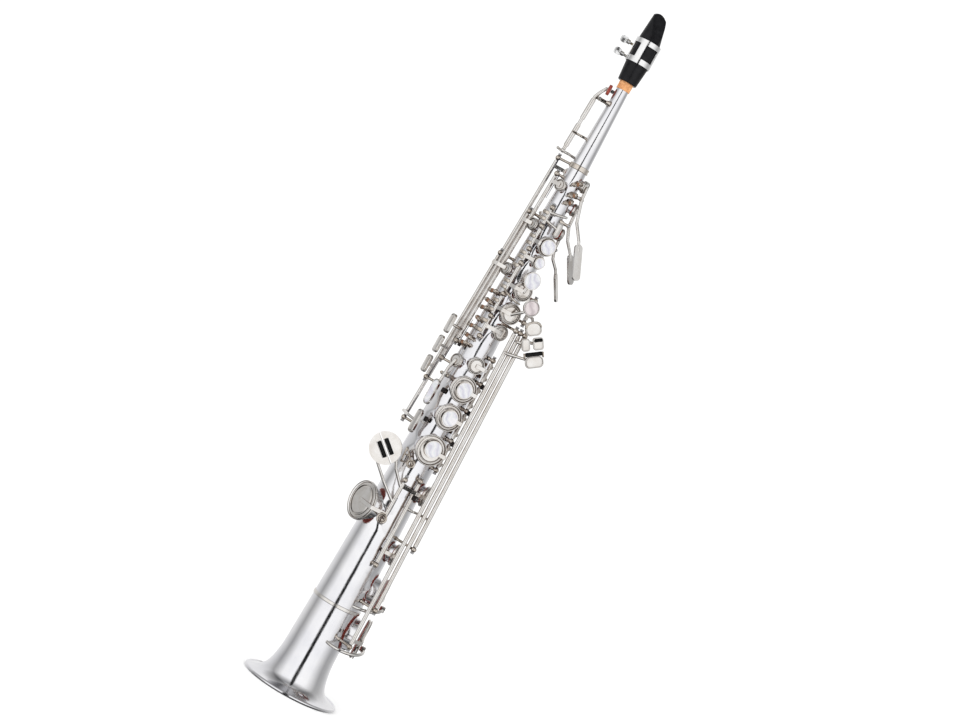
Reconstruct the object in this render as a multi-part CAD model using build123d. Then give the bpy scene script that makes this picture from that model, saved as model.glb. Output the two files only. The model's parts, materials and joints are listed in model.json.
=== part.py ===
from build123d import *
import os
from math import atan, cos, degrees, radians, sin

# A straight, one-piece soprano saxophone. Millimetres. +Z runs up the conical tube from the bell's
# rim, which stands on Z = 0. The front, with the finger keys, faces -Y, and azimuths are measured in
# degrees from the front towards +X, the side of the player's left hand.

# ---- the conical tube ----
BODY_END_Z = 640.0          # open end of the neck, inside the mouthpiece
BELL_JOINT_Z = 88.0         # where the bell is soldered to the body
CONE_RADIUS_AT_NECK = 6.25  # outer radius at NECK_Z
NECK_Z = 600.0
CONE_TAPER = 0.0325         # outer radius gained for each millimetre down
WALL = 0.8

# ---- the bell ----
BELL_RIM_RADIUS = 46.0
RIM_BEAD_RADIUS = 1.7
BELL_FLARE_TOP_Z = 38.0
BELL_WALL = 1.0

# ---- keywork in general ----
ROD_RADIUS = 1.0
BORE_RADIUS = 1.05
TUBE_RADIUS = 1.9
POST_RADIUS = 1.25
POST_BALL_RADIUS = 2.6
PIVOT_POST_BALL_RADIUS = 1.7
POST_FOOT_RADIUS = 2.6
POST_FLANGE_RADIUS = 1.6
POST_FLANGE_HEIGHT = 1.3    # above the tube, where the foot's flange ends
POST_ROOT = 2.5             # how far a pillar is modelled into the tube before it is cut to it
TUBE_GAP = 2.9              # from a post's centre to the end of the next key's tube
CUP_DEPTH = 3.2
CUP_WALL = 0.7
PAD_THICKNESS = 2.6
PAD_PROUD = 0.8             # how far a pad stands out of its cup
PAD_GAP = 0.15              # between a shut pad and its tone hole
CHIMNEY_WALL = 0.75
CHIMNEY_ROOT = 9.0          # how far below the tube's surface a wide chimney's side starts
STRAP_WIDTH = 3.4
STRAP_THICKNESS = 1.5

# ---- tone holes: station, azimuth, hole radius, chimney height, cup radius ----
TONE_HOLES = {
    "low_bb": (68, 104, 15.4, 3.0, 19.5),
    "low_b": (111, 104, 13.0, 3.0, 16.5),
    "low_cs": (151, 80, 8.2, 2.5, 10.8),
    "low_c": (181, -62, 14.2, 3.0, 18.5),
    "low_eb": (210, 78, 7.6, 2.5, 10.2),
    "d": (250, 13, 11.2, 2.4, 14.3),
    "e": (283, 13, 9.6, 2.4, 12.4),
    "f": (311, 12, 9.6, 2.4, 12.4),
    "fs": (335, 12, 5.6, 2.2, 7.8),
    "fs_trill": (331, -37, 4.6, 2.2, 6.3),
    "gs": (371, 33, 5.2, 2.2, 7.4),
    "g": (390, 33, 7.2, 2.2, 9.8),
    "a": (413, 34, 6.6, 2.2, 9.0),
    "bis": (442, 33, 4.2, 2.2, 6.2),
    "b": (458, 33, 6.0, 2.2, 8.8),
    "side_bb": (424, -50, 4.2, 2.2, 6.0),
    "side_c": (470, -51, 4.2, 2.2, 6.0),
    "side_e": (512, -32, 3.8, 2.2, 5.6),
    "palm_d": (474, 118, 4.2, 2.2, 6.2),
    "palm_eb": (499, 95, 4.2, 2.2, 6.2),
    "palm_f": (521, 70, 4.0, 2.2, 6.0),
    "high_fs": (526, -158, 3.8, 2.2, 5.6),
    "neck_octave": (608, -90, 1.0, 3.0, 4.6),
    "body_octave": (497, -156, 1.0, 3.0, 3.4),
}

# ---- hinge lines along the tube: azimuth, height of the rod above the tube, post stations ----
HINGE_LINES = {
    "lower_stack": (62, 4.5, (236, 265, 295, 322, 346)),
    "upper_stack": (-15, 5.0, (360, 380.5, 403, 434.5, 449, 472, 491)),
    "side_e": (-80, 6.5, (346, 520)),
    "side_c": (-97, 10.0, (326, 479)),
    "side_bb": (-108, 14.5, (304, 434)),
    "high_fs": (-120, 16.0, (262, 534)),
    "low_c": (0, 6.0, (175, 216)),
    "low_cs": (33, 4.5, (137, 221)),
    "low_bb": (50, 14.5, (62, 379.3)),
    "low_b": (57, 17.5, (101, 379.3)),
    "cs_lever": (63, 21.0, (165, 379.3)),
    "gs_lever": (74, 12.0, (389, 411)),
    "thumb": (165, 5.0, (438, 546)),
}
# the keys that share another key's line
HINGE_OF = {
    "d": "lower_stack", "e": "lower_stack", "f": "lower_stack", "fs": "lower_stack",
    "gs": "upper_stack", "g": "upper_stack", "a": "upper_stack", "bis": "upper_stack",
    "b": "upper_stack", "front_f": "upper_stack", "low_eb": "low_c",
}

# ---- rocking levers: station, azimuth and height of a pivot that lies across the tube ----
PIVOTS = {
    "palm_d": (460, 118, 6.5),
    "palm_eb": (484, 95, 6.5),
    "palm_f": (510, 70, 6.5),
    "fs_trill": (315, -45, 5.5),
    "neck_octave": (597, -90, 8.0),
    "body_octave": (483, -156, 5.3),
}
PIVOT_TUBE = 6.0
PIVOT_POST_OFFSET = 4.7

# ---- degrees between a pad's rest place and its other stop ----
OPENING = {
    "low_bb": 13, "low_b": 12, "low_cs": 9, "low_c": 10, "low_eb": 7, "d": 9, "e": 9, "f": 9, "fs": 8,
    "fs_trill": 6, "gs": 9, "g": 9, "a": 9, "bis": 8, "b": 9, "side_bb": 7, "side_c": 7, "side_e": 7,
    "palm_d": 6, "palm_eb": 6, "palm_f": 6, "high_fs": 7, "neck_octave": 3.5, "body_octave": 5,
    "gs_lever": 7, "cs_lever": 5, "front_f": 7, "thumb": 7,
}
STANDS_OPEN = ("low_bb", "low_b", "low_c", "d", "e", "f", "fs", "g", "a", "bis", "b")

PALM_TWIST = 40.0           # how far the palm touches turn their faces to the front

# ---- finger pearls: key, station, azimuth, height above the tube, radius ----
PEARLS = {
    "b": (458, 33, 9.8, 6.3),
    "bis": (442, 33, 9.8, 4.4),
    "a": (425, 36, 11.6, 7.4),
    "f": (311, 12, 10.1, 6.8),
    "e": (283, 13, 10.1, 6.8),
    "d": (252, 13, 10.1, 7.2),
}
PEARL_THICKNESS = 2.0
PEARL_HOLDER_WALL = 0.8

# ---- the round pair of right pinky touches, split by a slanting gap ----
PINKY_PAIR_CENTRE = Vector(-28.9, -31.0, 233.0)
PINKY_PAIR_FACE = Vector(-0.2, -0.98, 0).normalized()
PINKY_PAIR_SPLIT = Vector(0.627, -0.128, 0.768).normalized()
PINKY_PAIR_GAP = 1.4
PINKY_ROLLER_LENGTH = 15.0
ROLLER_RADIUS = 2.0
ROLLER_OFFSET = 3.4

# ---- the left pinky's table: the touches lie on one plane, in rows that slant up to the right ----
TABLE_CENTRE = Vector(44.0, -22.3, 369.0)
TABLE_SLANT = 34.0
TABLE_THICKNESS = 2.2
# key: place along and up the slanting rows, width, height, corner radius
TABLE_TOUCHES = {
    "low_bb": (1.0, -7.9, 17.0, 10.4, 4.0),
    "low_b": (-5.8, 8.4, 7.6, 11.4, 2.4),
    "cs_lever": (5.8, 8.4, 9.6, 11.4, 2.4),
    "gs_lever": (2.2, 22.2, 15.0, 12.6, 4.5),
}

# ---- guards: foot, bulge and tip of each bar, as station, azimuth and height ----
GUARDS = (
    ((56, 22, 0), (57, 58, 18), (62, 88, 17.8)),
    ((94, 40, 0), (96, 58, 9.3), (102, 90, 17.0)),
)
GUARD_BAR_RADIUS = 1.5
GUARD_ROOT = 2.0
GUARD_SOCKET_RADIUS = 2.9
GUARD_SOCKET_THICKNESS = 3.4
FELT_RADIUS = 2.4
FELT_THICKNESS = 1.6

# ---- the thumbs' fittings and the strap ring, on the back of the tube ----
THUMB_HOOK_Z = 262.0
THUMB_HOOK_WIDTH = 11.0
THUMB_HOOK_REACH = 12.6     # from the tube to the centre of the hook's curve
THUMB_HOOK_OUTER = 12.2
THUMB_HOOK_INNER = 9.8
THUMB_REST_Z = 421.0
THUMB_REST_RADIUS = 7.2
STRAP_RING_Z = 352.0
STRAP_RING_RADIUS = 7.0
STRAP_RING_HOLE = 4.5
STRAP_RING_WIDTH = 3.0
STRAP_RING_HEIGHT = 9.5

# ---- mouthpiece ----
CORK_RADIUS = 6.5
CORK_LOW_Z = 613.5
SHANK_LOW_Z = 621.0
MOUTHPIECE_TOP_Z = 690.0
MOUTHPIECE_RADIUS = 10.7
BEAK_LOW_Z = 661.0
BEAK_TIP_RADIUS = 6.3       # the beak narrows to this, towards the flat that holds the reed
BEAK_TIP_OFFSET = 4.8
TABLE_DEPTH = 7.6           # from the axis to the flat that holds the reed
BEAK_AZIMUTH = 28.0         # the way the beak's slope faces
LIGATURE_LOW_Z = 639.5
LIGATURE_HIGH_Z = 662.0
LIGATURE_INNER = 11.3
LIGATURE_WALL = 0.8
LIGATURE_SCREWS_Z = (640.0 + 3.0, 652.0 + 3.0)

CENTRE_MIN = (Align.CENTER, Align.CENTER, Align.MIN)


def outer_radius(z):
    """Outer radius of the cone at a station."""
    return CONE_RADIUS_AT_NECK + CONE_TAPER * (NECK_Z - z)


def outward(azimuth):
    """Unit vector straight out of the tube at an azimuth."""
    return Vector(sin(radians(azimuth)), -cos(radians(azimuth)), 0)


def sideways(azimuth):
    """Unit vector round the tube, towards larger azimuths."""
    return Vector(cos(radians(azimuth)), sin(radians(azimuth)), 0)


def at(z, azimuth, height):
    """The point at a station, an azimuth and a height above the cone's surface."""
    return outward(azimuth) * (outer_radius(z) + height) + Vector(0, 0, z)


def cone(radius_low, radius_high, z_low, z_high):
    """A solid cone on the tube's axis."""
    return Pos(0, 0, z_low) * Cone(radius_low, radius_high, z_high - z_low, align=CENTRE_MIN)


def rod(start, end, radius):
    """A round rod between two points."""
    run = end - start
    return Plane(origin=start, z_dir=run) * Cylinder(radius, run.length, align=CENTRE_MIN)


def ball(centre, radius):
    """A ball at a point."""
    return Pos(*centre) * Sphere(radius)


def tapered_rod(start, end, start_radius, end_radius):
    """A rod that narrows evenly from one point to another."""
    run = end - start
    return Plane(origin=start, z_dir=run) * Cone(start_radius, end_radius, run.length, align=CENTRE_MIN)


def wire(points, radii):
    """Tapered rods through a row of points, with a ball at each corner."""
    solid = ball(points[0], radii[0])
    for start, end, start_radius, end_radius in zip(points, points[1:], radii, radii[1:]):
        if abs(start_radius - end_radius) < 0.01:
            solid += rod(start, end, start_radius)
        else:
            solid += tapered_rod(start, end, start_radius, end_radius)
        solid += ball(end, end_radius)
    return solid


def strap(z, places, width=STRAP_WIDTH, thickness=STRAP_THICKNESS):
    """A flat strap that goes round the tube at one station, through (azimuth, height) places."""
    points = [at(z, azimuth, height) for azimuth, height in places]
    solid = None
    for start, end in zip(points, points[1:]):
        run = end - start
        plate = Plane(origin=start, x_dir=Vector(0, 0, 1), z_dir=run)
        piece = plate * Box(width, thickness, run.length, align=CENTRE_MIN)
        piece += Pos(*end) * Cylinder(thickness / 2, width)
        piece += Pos(*start) * Cylinder(thickness / 2, width)
        solid = piece if solid is None else solid + piece
    return solid


def plate(centre, normal, up, width, height, thickness, corner):
    """A flat finger touch with rounded corners, centred on a point."""
    across = up.cross(normal).normalized()
    face = Plane(origin=centre, x_dir=across, z_dir=normal) * RectangleRounded(width, height, corner)
    return extrude(face, amount=thickness / 2, both=True)


def table_point(key):
    """The middle of a touch of the left pinky's table."""
    across, up = table_rows()
    return TABLE_CENTRE + across * TABLE_TOUCHES[key][0] + up * TABLE_TOUCHES[key][1]


def table_rows():
    """The two directions on the table's plane, along its slanting rows and square to them."""
    slant = radians(TABLE_SLANT)
    level = sideways(18)
    up = Vector(0, 0, 1)
    return level * cos(slant) + up * sin(slant), up * cos(slant) - level * sin(slant)


def table_touch(key):
    """One touch of the left pinky's table."""
    _, _, width, height, corner = TABLE_TOUCHES[key]
    return plate(table_point(key), outward(18), table_rows()[1], width, height, TABLE_THICKNESS, corner)


def disc(centre, normal, radius, thickness):
    """A round plate that starts at a point and grows along its normal."""
    return Plane(origin=centre, z_dir=normal) * Cylinder(radius, thickness, align=CENTRE_MIN)


CONE_BLANK = cone(outer_radius(20), outer_radius(660), 20, 660)


class Hinge:
    """A straight steel rod above the tube, in line with the cone's side."""

    def __init__(self, name):
        self.azimuth, self.height, self.posts = HINGE_LINES[name]
        self.origin = self.point(self.posts[0])
        self.direction = (self.point(self.posts[-1]) - self.origin).normalized()

    def point(self, z):
        return at(z, self.azimuth, self.height)

    def tube(self, z_low, z_high, radius=TUBE_RADIUS):
        return rod(self.point(z_low), self.point(z_high), radius)

    def rod(self):
        reach = self.direction * (POST_BALL_RADIUS + 0.6)
        return rod(self.point(self.posts[0]) - reach, self.point(self.posts[-1]) + reach, ROD_RADIUS)

    def post_parts(self):
        normal, across = outward(self.azimuth), sideways(self.azimuth)
        return [post(self.point(z), normal, across, self.height) for z in self.posts]


class Pivot:
    """A short steel rod that lies across the tube, between two posts."""

    def __init__(self, name):
        self.z, self.azimuth, self.height = PIVOTS[name]
        self.origin = at(self.z, self.azimuth, self.height)
        self.direction = sideways(self.azimuth)

    def tube(self, radius=TUBE_RADIUS):
        half = self.direction * (PIVOT_TUBE / 2)
        return rod(self.origin - half, self.origin + half, radius)

    def rod(self):
        reach = self.direction * (PIVOT_POST_OFFSET + POST_BALL_RADIUS * 0.7)
        return rod(self.origin - reach, self.origin + reach, ROD_RADIUS)

    def post_parts(self):
        step = self.direction * PIVOT_POST_OFFSET
        places = (self.origin - step, self.origin + step)
        normal, along = outward(self.azimuth), Vector(0, 0, 1)
        return [post(place, normal, along, self.height, PIVOT_POST_BALL_RADIUS) for place in places]


def post(tip, normal, across, height, ball_radius=POST_BALL_RADIUS):
    """A pillar soldered to the tube, with a ball at its tip. Across is square to its rod."""
    foot = tip - normal * (height + POST_ROOT)
    flange_top = tip - normal * (height - POST_FLANGE_HEIGHT)
    solid = rod(foot, tip, POST_RADIUS)
    solid += tapered_rod(foot, flange_top, POST_FOOT_RADIUS, POST_FLANGE_RADIUS)
    solid += Plane(origin=tip, x_dir=across, z_dir=normal) * Sphere(ball_radius)
    return solid


HINGES = {name: Hinge(name) for name in HINGE_LINES}
CROSS_PIVOTS = {name: Pivot(name) for name in PIVOTS}


def chimney_top(name):
    """Height of a tone hole's rim above the cone."""
    return TONE_HOLES[name][3]


def cup_back(name):
    """Height of the outside of a shut cup above the cone."""
    return chimney_top(name) + PAD_GAP + PAD_PROUD + CUP_DEPTH


def cup(name):
    """A pad cup over its tone hole, shut: a shallow dish with a stepped, domed back."""
    z, azimuth, _, _, radius = TONE_HOLES[name]
    seat = at(z, azimuth, chimney_top(name) + PAD_GAP + PAD_PROUD)
    depth = CUP_DEPTH if radius > 5 else CUP_DEPTH - 0.6
    with BuildPart() as dish:
        with BuildSketch(Plane.XZ):
            with BuildLine():
                Polyline((0, 0), (radius, 0), (radius, depth * 0.45))
                ThreePointArc(
                    (radius, depth * 0.45), (radius * 0.9, depth * 0.74), (radius * 0.72, depth * 0.86)
                )
                Polyline((radius * 0.72, depth * 0.86), (radius * 0.66, depth), (0, depth), (0, 0))
            make_face()
        revolve(axis=Axis.Z)
    solid = dish.part - Cylinder(radius - CUP_WALL, PAD_THICKNESS - PAD_PROUD, align=CENTRE_MIN)
    return Plane(origin=seat, z_dir=outward(azimuth)) * solid


def pad(name):
    """A leather pad in its cup, shut."""
    z, azimuth, _, _, radius = TONE_HOLES[name]
    seat = at(z, azimuth, chimney_top(name) + PAD_GAP)
    disc_solid = Cylinder(radius - CUP_WALL, PAD_THICKNESS, align=CENTRE_MIN)
    disc_solid = fillet(disc_solid.edges().group_by(Axis.Z)[0], PAD_PROUD * 0.6)
    return Plane(origin=seat, z_dir=outward(azimuth)) * disc_solid


def pearl_holder(name):
    """The ring that a finger pearl sits in."""
    z, azimuth, height, radius = PEARLS[name]
    base = at(z, azimuth, height - PEARL_THICKNESS - 1.2)
    holder = Cylinder(radius + PEARL_HOLDER_WALL, PEARL_THICKNESS + 0.6, align=CENTRE_MIN)
    holder -= Pos(0, 0, 1.2) * Cylinder(radius, PEARL_THICKNESS, align=CENTRE_MIN)
    return Plane(origin=base, z_dir=outward(azimuth)) * holder


def pearl(name):
    """A finger pearl with a shallow hollow in its face."""
    z, azimuth, height, radius = PEARLS[name]
    base = at(z, azimuth, height - PEARL_THICKNESS)
    solid = Cylinder(radius, PEARL_THICKNESS, align=CENTRE_MIN)
    solid = fillet(solid.edges().group_by(Axis.Z)[-1], 0.5)
    dish_radius = radius * 4
    solid -= Pos(0, 0, PEARL_THICKNESS + dish_radius - 0.45) * Sphere(dish_radius)
    return Plane(origin=base, z_dir=outward(azimuth)) * solid


def one_solid(name, shape):
    """The shape, after a look that it is in one piece."""
    count = len(shape.solids())
    if count != 1:
        print("WARNING", name, "has", count, "solids")
    return shape


def hinged(name, hinge, tube, parts):
    """A key on a long rod: its tube, with the other parts soldered on, bored for the rod."""
    solid = hinge.tube(*tube)
    for piece in parts:
        solid += piece
    solid -= hinge.tube(tube[0] - 6, tube[1] + 6, BORE_RADIUS)
    return one_solid(name, solid)


def rocking(name, parts):
    """A key on a short pivot across the tube."""
    pivot = CROSS_PIVOTS[name]
    solid = pivot.tube()
    for piece in parts:
        solid += piece
    reach = pivot.direction * (PIVOT_TUBE / 2 + 4)
    solid -= rod(pivot.origin - reach, pivot.origin + reach, BORE_RADIUS)
    return one_solid(name, solid)


def cup_strap(name, hinge, corner=None):
    """The arm from a hinge tube, over the edge of a cup, to the middle of its back."""
    z, azimuth, _, _, radius = TONE_HOLES[name]
    top = cup_back(name) + STRAP_THICKNESS * 0.35
    side = 1 if hinge.azimuth > azimuth else -1
    back_radius = outer_radius(z) + top
    edge_azimuth = azimuth + side * degrees(atan((radius + 0.4) / back_radius))
    edge_height = (back_radius**2 + (radius + 0.4) ** 2) ** 0.5 - outer_radius(z)
    places = [(hinge.azimuth, hinge.height)]
    if corner:
        places += corner
    elif side * (hinge.azimuth - edge_azimuth) > 3:
        places += [(edge_azimuth, edge_height)]
    places += [(azimuth, top)]
    return strap(z, places)


# ---------------------------------------------------------------- tube and bell


def make_bell():
    """The flared end with its rolled rim, hollow, with the low B flat tone hole."""
    rim_centre = BELL_RIM_RADIUS - RIM_BEAD_RADIUS
    flare_top = outer_radius(BELL_FLARE_TOP_Z)
    joint = outer_radius(BELL_JOINT_Z)
    bead_z = RIM_BEAD_RADIUS - 0.4
    with BuildPart() as wall:
        with BuildSketch(Plane.XZ):
            with BuildLine():
                Line((joint, BELL_JOINT_Z), (flare_top, BELL_FLARE_TOP_Z))
                Spline(
                    (flare_top, BELL_FLARE_TOP_Z),
                    (26.4, 22.0),
                    (31.0, 9.0),
                    (rim_centre, 2.2),
                    tangents=((CONE_TAPER, -1), (1, -0.22)),
                )
                Line((rim_centre, 2.2), (rim_centre, 2.2 - BELL_WALL))
                Spline(
                    (rim_centre, 2.2 - BELL_WALL),
                    (30.2, 8.3),
                    (26.4 - BELL_WALL, 21.8),
                    (flare_top - BELL_WALL, BELL_FLARE_TOP_Z),
                    tangents=((-1, 0.22), (-CONE_TAPER, 1)),
                )
                Line((flare_top - BELL_WALL, BELL_FLARE_TOP_Z), (joint - BELL_WALL, BELL_JOINT_Z))
                Line((joint - BELL_WALL, BELL_JOINT_Z), (joint, BELL_JOINT_Z))
            make_face()
        revolve(axis=Axis.Z)
    bead = Pos(0, 0, bead_z) * Torus(rim_centre, RIM_BEAD_RADIUS)
    bead -= Pos(0, 0, -10) * Cylinder(60, 10, align=CENTRE_MIN)
    solid = wall.part + bead
    bore = cone(joint - BELL_WALL + 1.3, joint - BELL_WALL, BELL_JOINT_Z - 40, BELL_JOINT_Z)
    return one_solid("bell", pierce(solid, ["low_bb"], bore))


def pierce(solid, names, bore):
    """Raise a chimney round each tone hole and open the hole through the wall."""
    for name in names:
        z, azimuth, hole, height, _ = TONE_HOLES[name]
        root = at(z, azimuth, -outer_radius(z) * 0.7)
        length = outer_radius(z) * 0.7 + height
        solid += disc(root, outward(azimuth), hole + CHIMNEY_WALL, length) - bore
    for name in names:
        z, azimuth, hole, height, _ = TONE_HOLES[name]
        solid -= disc(at(z, azimuth, -outer_radius(z) * 0.75), outward(azimuth), hole, 40)
    return solid


def make_body_tube():
    """The conical tube from the bell joint to the neck's open end, with all its other tone holes."""
    low, high = outer_radius(BELL_JOINT_Z), outer_radius(BODY_END_Z)
    bore = cone(low - WALL, high - WALL, BELL_JOINT_Z, BODY_END_Z)
    solid = cone(low, high, BELL_JOINT_Z, BODY_END_Z) - bore
    names = [name for name in TONE_HOLES if name != "low_bb"]
    return one_solid("body_tube", pierce(solid, names, bore))


def make_bell_ring():
    """The ferrule over the joint between bell and body."""
    low, high = BELL_JOINT_Z - 1.6, BELL_JOINT_Z + 1.8
    ring = Pos(0, 0, low) * Cylinder(outer_radius(BELL_JOINT_Z) + 0.9, high - low, align=CENTRE_MIN)
    ring = fillet(ring.edges(), 0.7)
    return ring - CONE_BLANK


# ---------------------------------------------------------------- keys


def make_stack_keys():
    """The finger keys of both hands that stand over the tube on the two stack rods."""
    lower, upper = HINGES["lower_stack"], HINGES["upper_stack"]
    spans = {
        "d": (lower, 236, 265),
        "e": (lower, 265, 295),
        "f": (lower, 295, 322),
        "fs": (lower, 322, 346),
        "gs": (upper, 360, 380.5),
        "g": (upper, 380.5, 403),
        "a": (upper, 403, 434.5),
        "bis": (upper, 434.5, 449),
        "b": (upper, 449, 472),
    }
    keys = {}
    for name, (hinge, low, high) in spans.items():
        parts = [cup(name), cup_strap(name, hinge)]
        if name in PEARLS and name != "a":
            parts.append(pearl_holder(name))
        if name == "a":
            z, azimuth, height, _ = PEARLS["a"]
            arm = [at(413, 34, cup_back("a") + 0.3), at(z, azimuth, height - 4.2)]
            stem = rod(arm[1], at(z, azimuth, height - 2.6), 1.7)
            parts += [wire(arm, (1.7, 1.7)), stem, pearl_holder("a")]
        if name == "g":
            parts += g_touch()
        keys[name] = hinged(name, hinge, (low + TUBE_GAP, high - TUBE_GAP), parts)
    return keys


def g_touch():
    """The round touch beside the G cup, on an arm that rises from the cup's back."""
    centre = Vector(24.5, -21.5, 403.5)
    start = at(390, 33, cup_back("g") + 0.4)
    knee = Vector(19.5, -20.5, 396.5)
    normal = outward(25)
    arm = wire([start, knee, centre - normal * 1.2], (1.5, 1.4, 1.3))
    return [arm, disc(centre - normal * 1.2, normal, 7.5, 2.4)]


def make_side_keys():
    """The right hand's side keys, with rods up to their cups, and the high F sharp key."""
    keys = {}
    up = Vector(0, 0, 1)
    plan = {
        "side_e": ((346, 520), None, (-33.0, -10.5, 357), 19.0),
        "side_c": ((326, 479), [(-79, 11.6), (-62, 10.6)], (-33.4, -8.0, 336), 17.0),
        "side_bb": ((304, 434), [(-92, 15.0), (-66, 12.2)], (-34.0, -5.0, 315.5), 17.0),
    }
    for name, ((low, high), corner, touch_place, touch_length) in plan.items():
        hinge = HINGES[name]
        touch = Vector(*touch_place)
        root = hinge.point(touch.Z)
        normal = Vector(-0.83, -0.56, 0)
        parts = [
            cup(name),
            cup_strap(name, hinge, corner),
            wire([root, touch], (1.5, 1.2)),
            plate(touch, normal, up, 7.0, touch_length, 2.4, 3.2),
        ]
        keys[name] = hinged(name, hinge, (low + TUBE_GAP, high - TUBE_GAP), parts)
    hinge = HINGES["high_fs"]
    low, high = hinge.posts
    touch = at(266.5, -44, 8.0)
    parts = [
        cup("high_fs"),
        cup_strap("high_fs", hinge),
        wire([hinge.point(268), at(268, -96, 15.0), at(267.5, -66, 11.5), touch], (1.5, 1.4, 1.3, 1.2)),
        plate(touch, outward(-50), up, 7.0, 23.0, 2.2, 3.3),
    ]
    keys["high_fs"] = hinged("high_fs", hinge, (low + TUBE_GAP, high - TUBE_GAP), parts)
    return keys


def make_rocking_keys():
    """The palm keys, the F sharp trill and both octave keys, which rock on pivots across the tube."""
    keys = {}
    palm = {
        "palm_f": ((490, 13.5), (476, 23.5), (459, 31.0), 33.0),
        "palm_eb": ((472, 12.5), (463, 20.0), (451, 26.5), 27.0),
        "palm_d": ((452, 10.5), (445, 18.0), (431, 27.0), 27.0),
    }
    for name, (knee, shoulder, centre, length) in palm.items():
        z, azimuth, _, _, _ = TONE_HOLES[name]
        pivot = CROSS_PIVOTS[name]
        top = at(z, azimuth, cup_back(name) + 0.5)
        bend = at((z + pivot.z) / 2 + 1, azimuth, cup_back(name) + 1.0)
        line = [top, bend, pivot.origin + outward(azimuth) * 1.0]
        line += [at(knee[0], azimuth, knee[1]), at(shoulder[0], azimuth, shoulder[1])]
        middle = at(centre[0], azimuth, centre[1])
        slope = (at(shoulder[0], azimuth, shoulder[1]) - middle).normalized()
        normal = slope.cross(sideways(azimuth)).normalized()
        if normal.dot(outward(azimuth)) < 0:
            normal = normal * -1
        line.append(middle + slope * (length * 0.3))
        face = normal * cos(radians(PALM_TWIST)) + normal.cross(slope) * sin(radians(PALM_TWIST))
        touch = plate(middle, face, slope, 8.0, length, 2.0, 3.8)
        keys[name] = rocking(name, [cup(name), wire(line, (1.5, 1.5, 1.6, 1.5, 1.4, 1.2)), touch])
    keys["fs_trill"] = make_trill_key()
    keys["neck_octave"] = make_neck_octave_key()
    keys["body_octave"] = make_body_octave_key()
    return keys


def make_trill_key():
    """A rocking lever: an oval touch below its pivot and a small cup above it."""
    pivot = CROSS_PIVOTS["fs_trill"]
    top = at(331, -37, cup_back("fs_trill") + 0.5)
    over = pivot.origin + outward(-45) * 0.8
    line = [top, at(322, -42, 7.6), over, at(306, -47, 6.4), at(296, -49, 6.6)]
    touch = plate(at(296, -49, 7.2), outward(-49), Vector(0, 0, 1), 8.6, 25.0, 2.2, 4.2)
    return rocking("fs_trill", [cup("fs_trill"), wire(line, (1.4, 1.5, 1.6, 1.4, 1.2)), touch])


def make_neck_octave_key():
    """The long lever beside the neck, with the small octave cup at its top."""
    pivot = CROSS_PIVOTS["neck_octave"]
    top = at(608, -90, cup_back("neck_octave") + 0.3)
    tube_height = 12.4
    line = [top, at(602.5, -90, 10.4), at(597, -90, tube_height), at(543, -90, tube_height)]
    parts = [cup("neck_octave"), wire(line, (1.4, 1.6, 1.8, 1.8))]
    parts.append(rod(pivot.origin, at(597, -90, tube_height), 1.5))
    for low, high in ((546, 568), (574, 594)):
        parts.append(rod(at(low, -90, tube_height), at(high, -90, tube_height), 2.4))
    parts.append(ball(at(541, -90, tube_height), 2.2))
    return rocking("neck_octave", parts)


def make_body_octave_key():
    """The short lever on the back, with the second octave cup."""
    pivot = CROSS_PIVOTS["body_octave"]
    top = at(497, -156, cup_back("body_octave") + 0.3)
    line = [top, at(490, -156, 7.4), pivot.origin + outward(-156) * 0.8, at(470, -156, 7.0)]
    return rocking("body_octave", [cup("body_octave"), wire(line, (1.3, 1.4, 1.5, 1.3))])


def make_low_keys():
    """The low C, E flat and C sharp keys, and the two long bell keys with their pinky plates."""
    keys = {}
    hinge = HINGES["low_c"]
    c_line = [hinge.point(193), Vector(-16, -28.5, 206), PINKY_PAIR_CENTRE - PINKY_PAIR_SPLIT * 11]
    eb_line = [hinge.point(208), Vector(-12, -28.5, 221), PINKY_PAIR_CENTRE + PINKY_PAIR_SPLIT * 11]
    keys["low_c"] = hinged(
        "low_c",
        hinge,
        (175 + TUBE_GAP, 197),
        [
            cup("low_c"),
            cup_strap("low_c", hinge),
            from_rest("low_c", wire(c_line, (1.5, 1.4, 1.2))),
            from_rest("low_c", half_round(-1)),
        ],
    )
    keys["low_eb"] = hinged(
        "low_eb",
        hinge,
        (197.6, 216 - TUBE_GAP),
        [
            cup("low_eb"),
            cup_strap("low_eb", hinge, [(30, 10.0), (55, 9.2)]),
            wire(eb_line, (1.5, 1.4, 1.2)),
            half_round(1),
        ],
    )
    hinge = HINGES["low_cs"]
    heel = wire([hinge.point(194), at(194, 45, 8.8)], (1.5, 1.2))
    parts = [cup("low_cs"), cup_strap("low_cs", hinge), heel]
    keys["low_cs"] = hinged("low_cs", hinge, (137 + TUBE_GAP, 221 - TUBE_GAP), parts)
    for name, low, knee in (
        ("low_bb", 62, Vector(24.5, -24.0, 358.0)),
        ("low_b", 101, Vector(27.8, -22.2, 371.5)),
    ):
        hinge = HINGES[name]
        parts = [
            cup(name),
            cup_strap(name, hinge),
            from_rest(name, wire([hinge.point(knee.Z), knee, table_point(name)], (1.6, 1.5, 1.2))),
            from_rest(name, table_touch(name)),
        ]
        keys[name] = hinged(name, hinge, (low + TUBE_GAP, hinge.posts[1] - TUBE_GAP), parts)
    return keys


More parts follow.
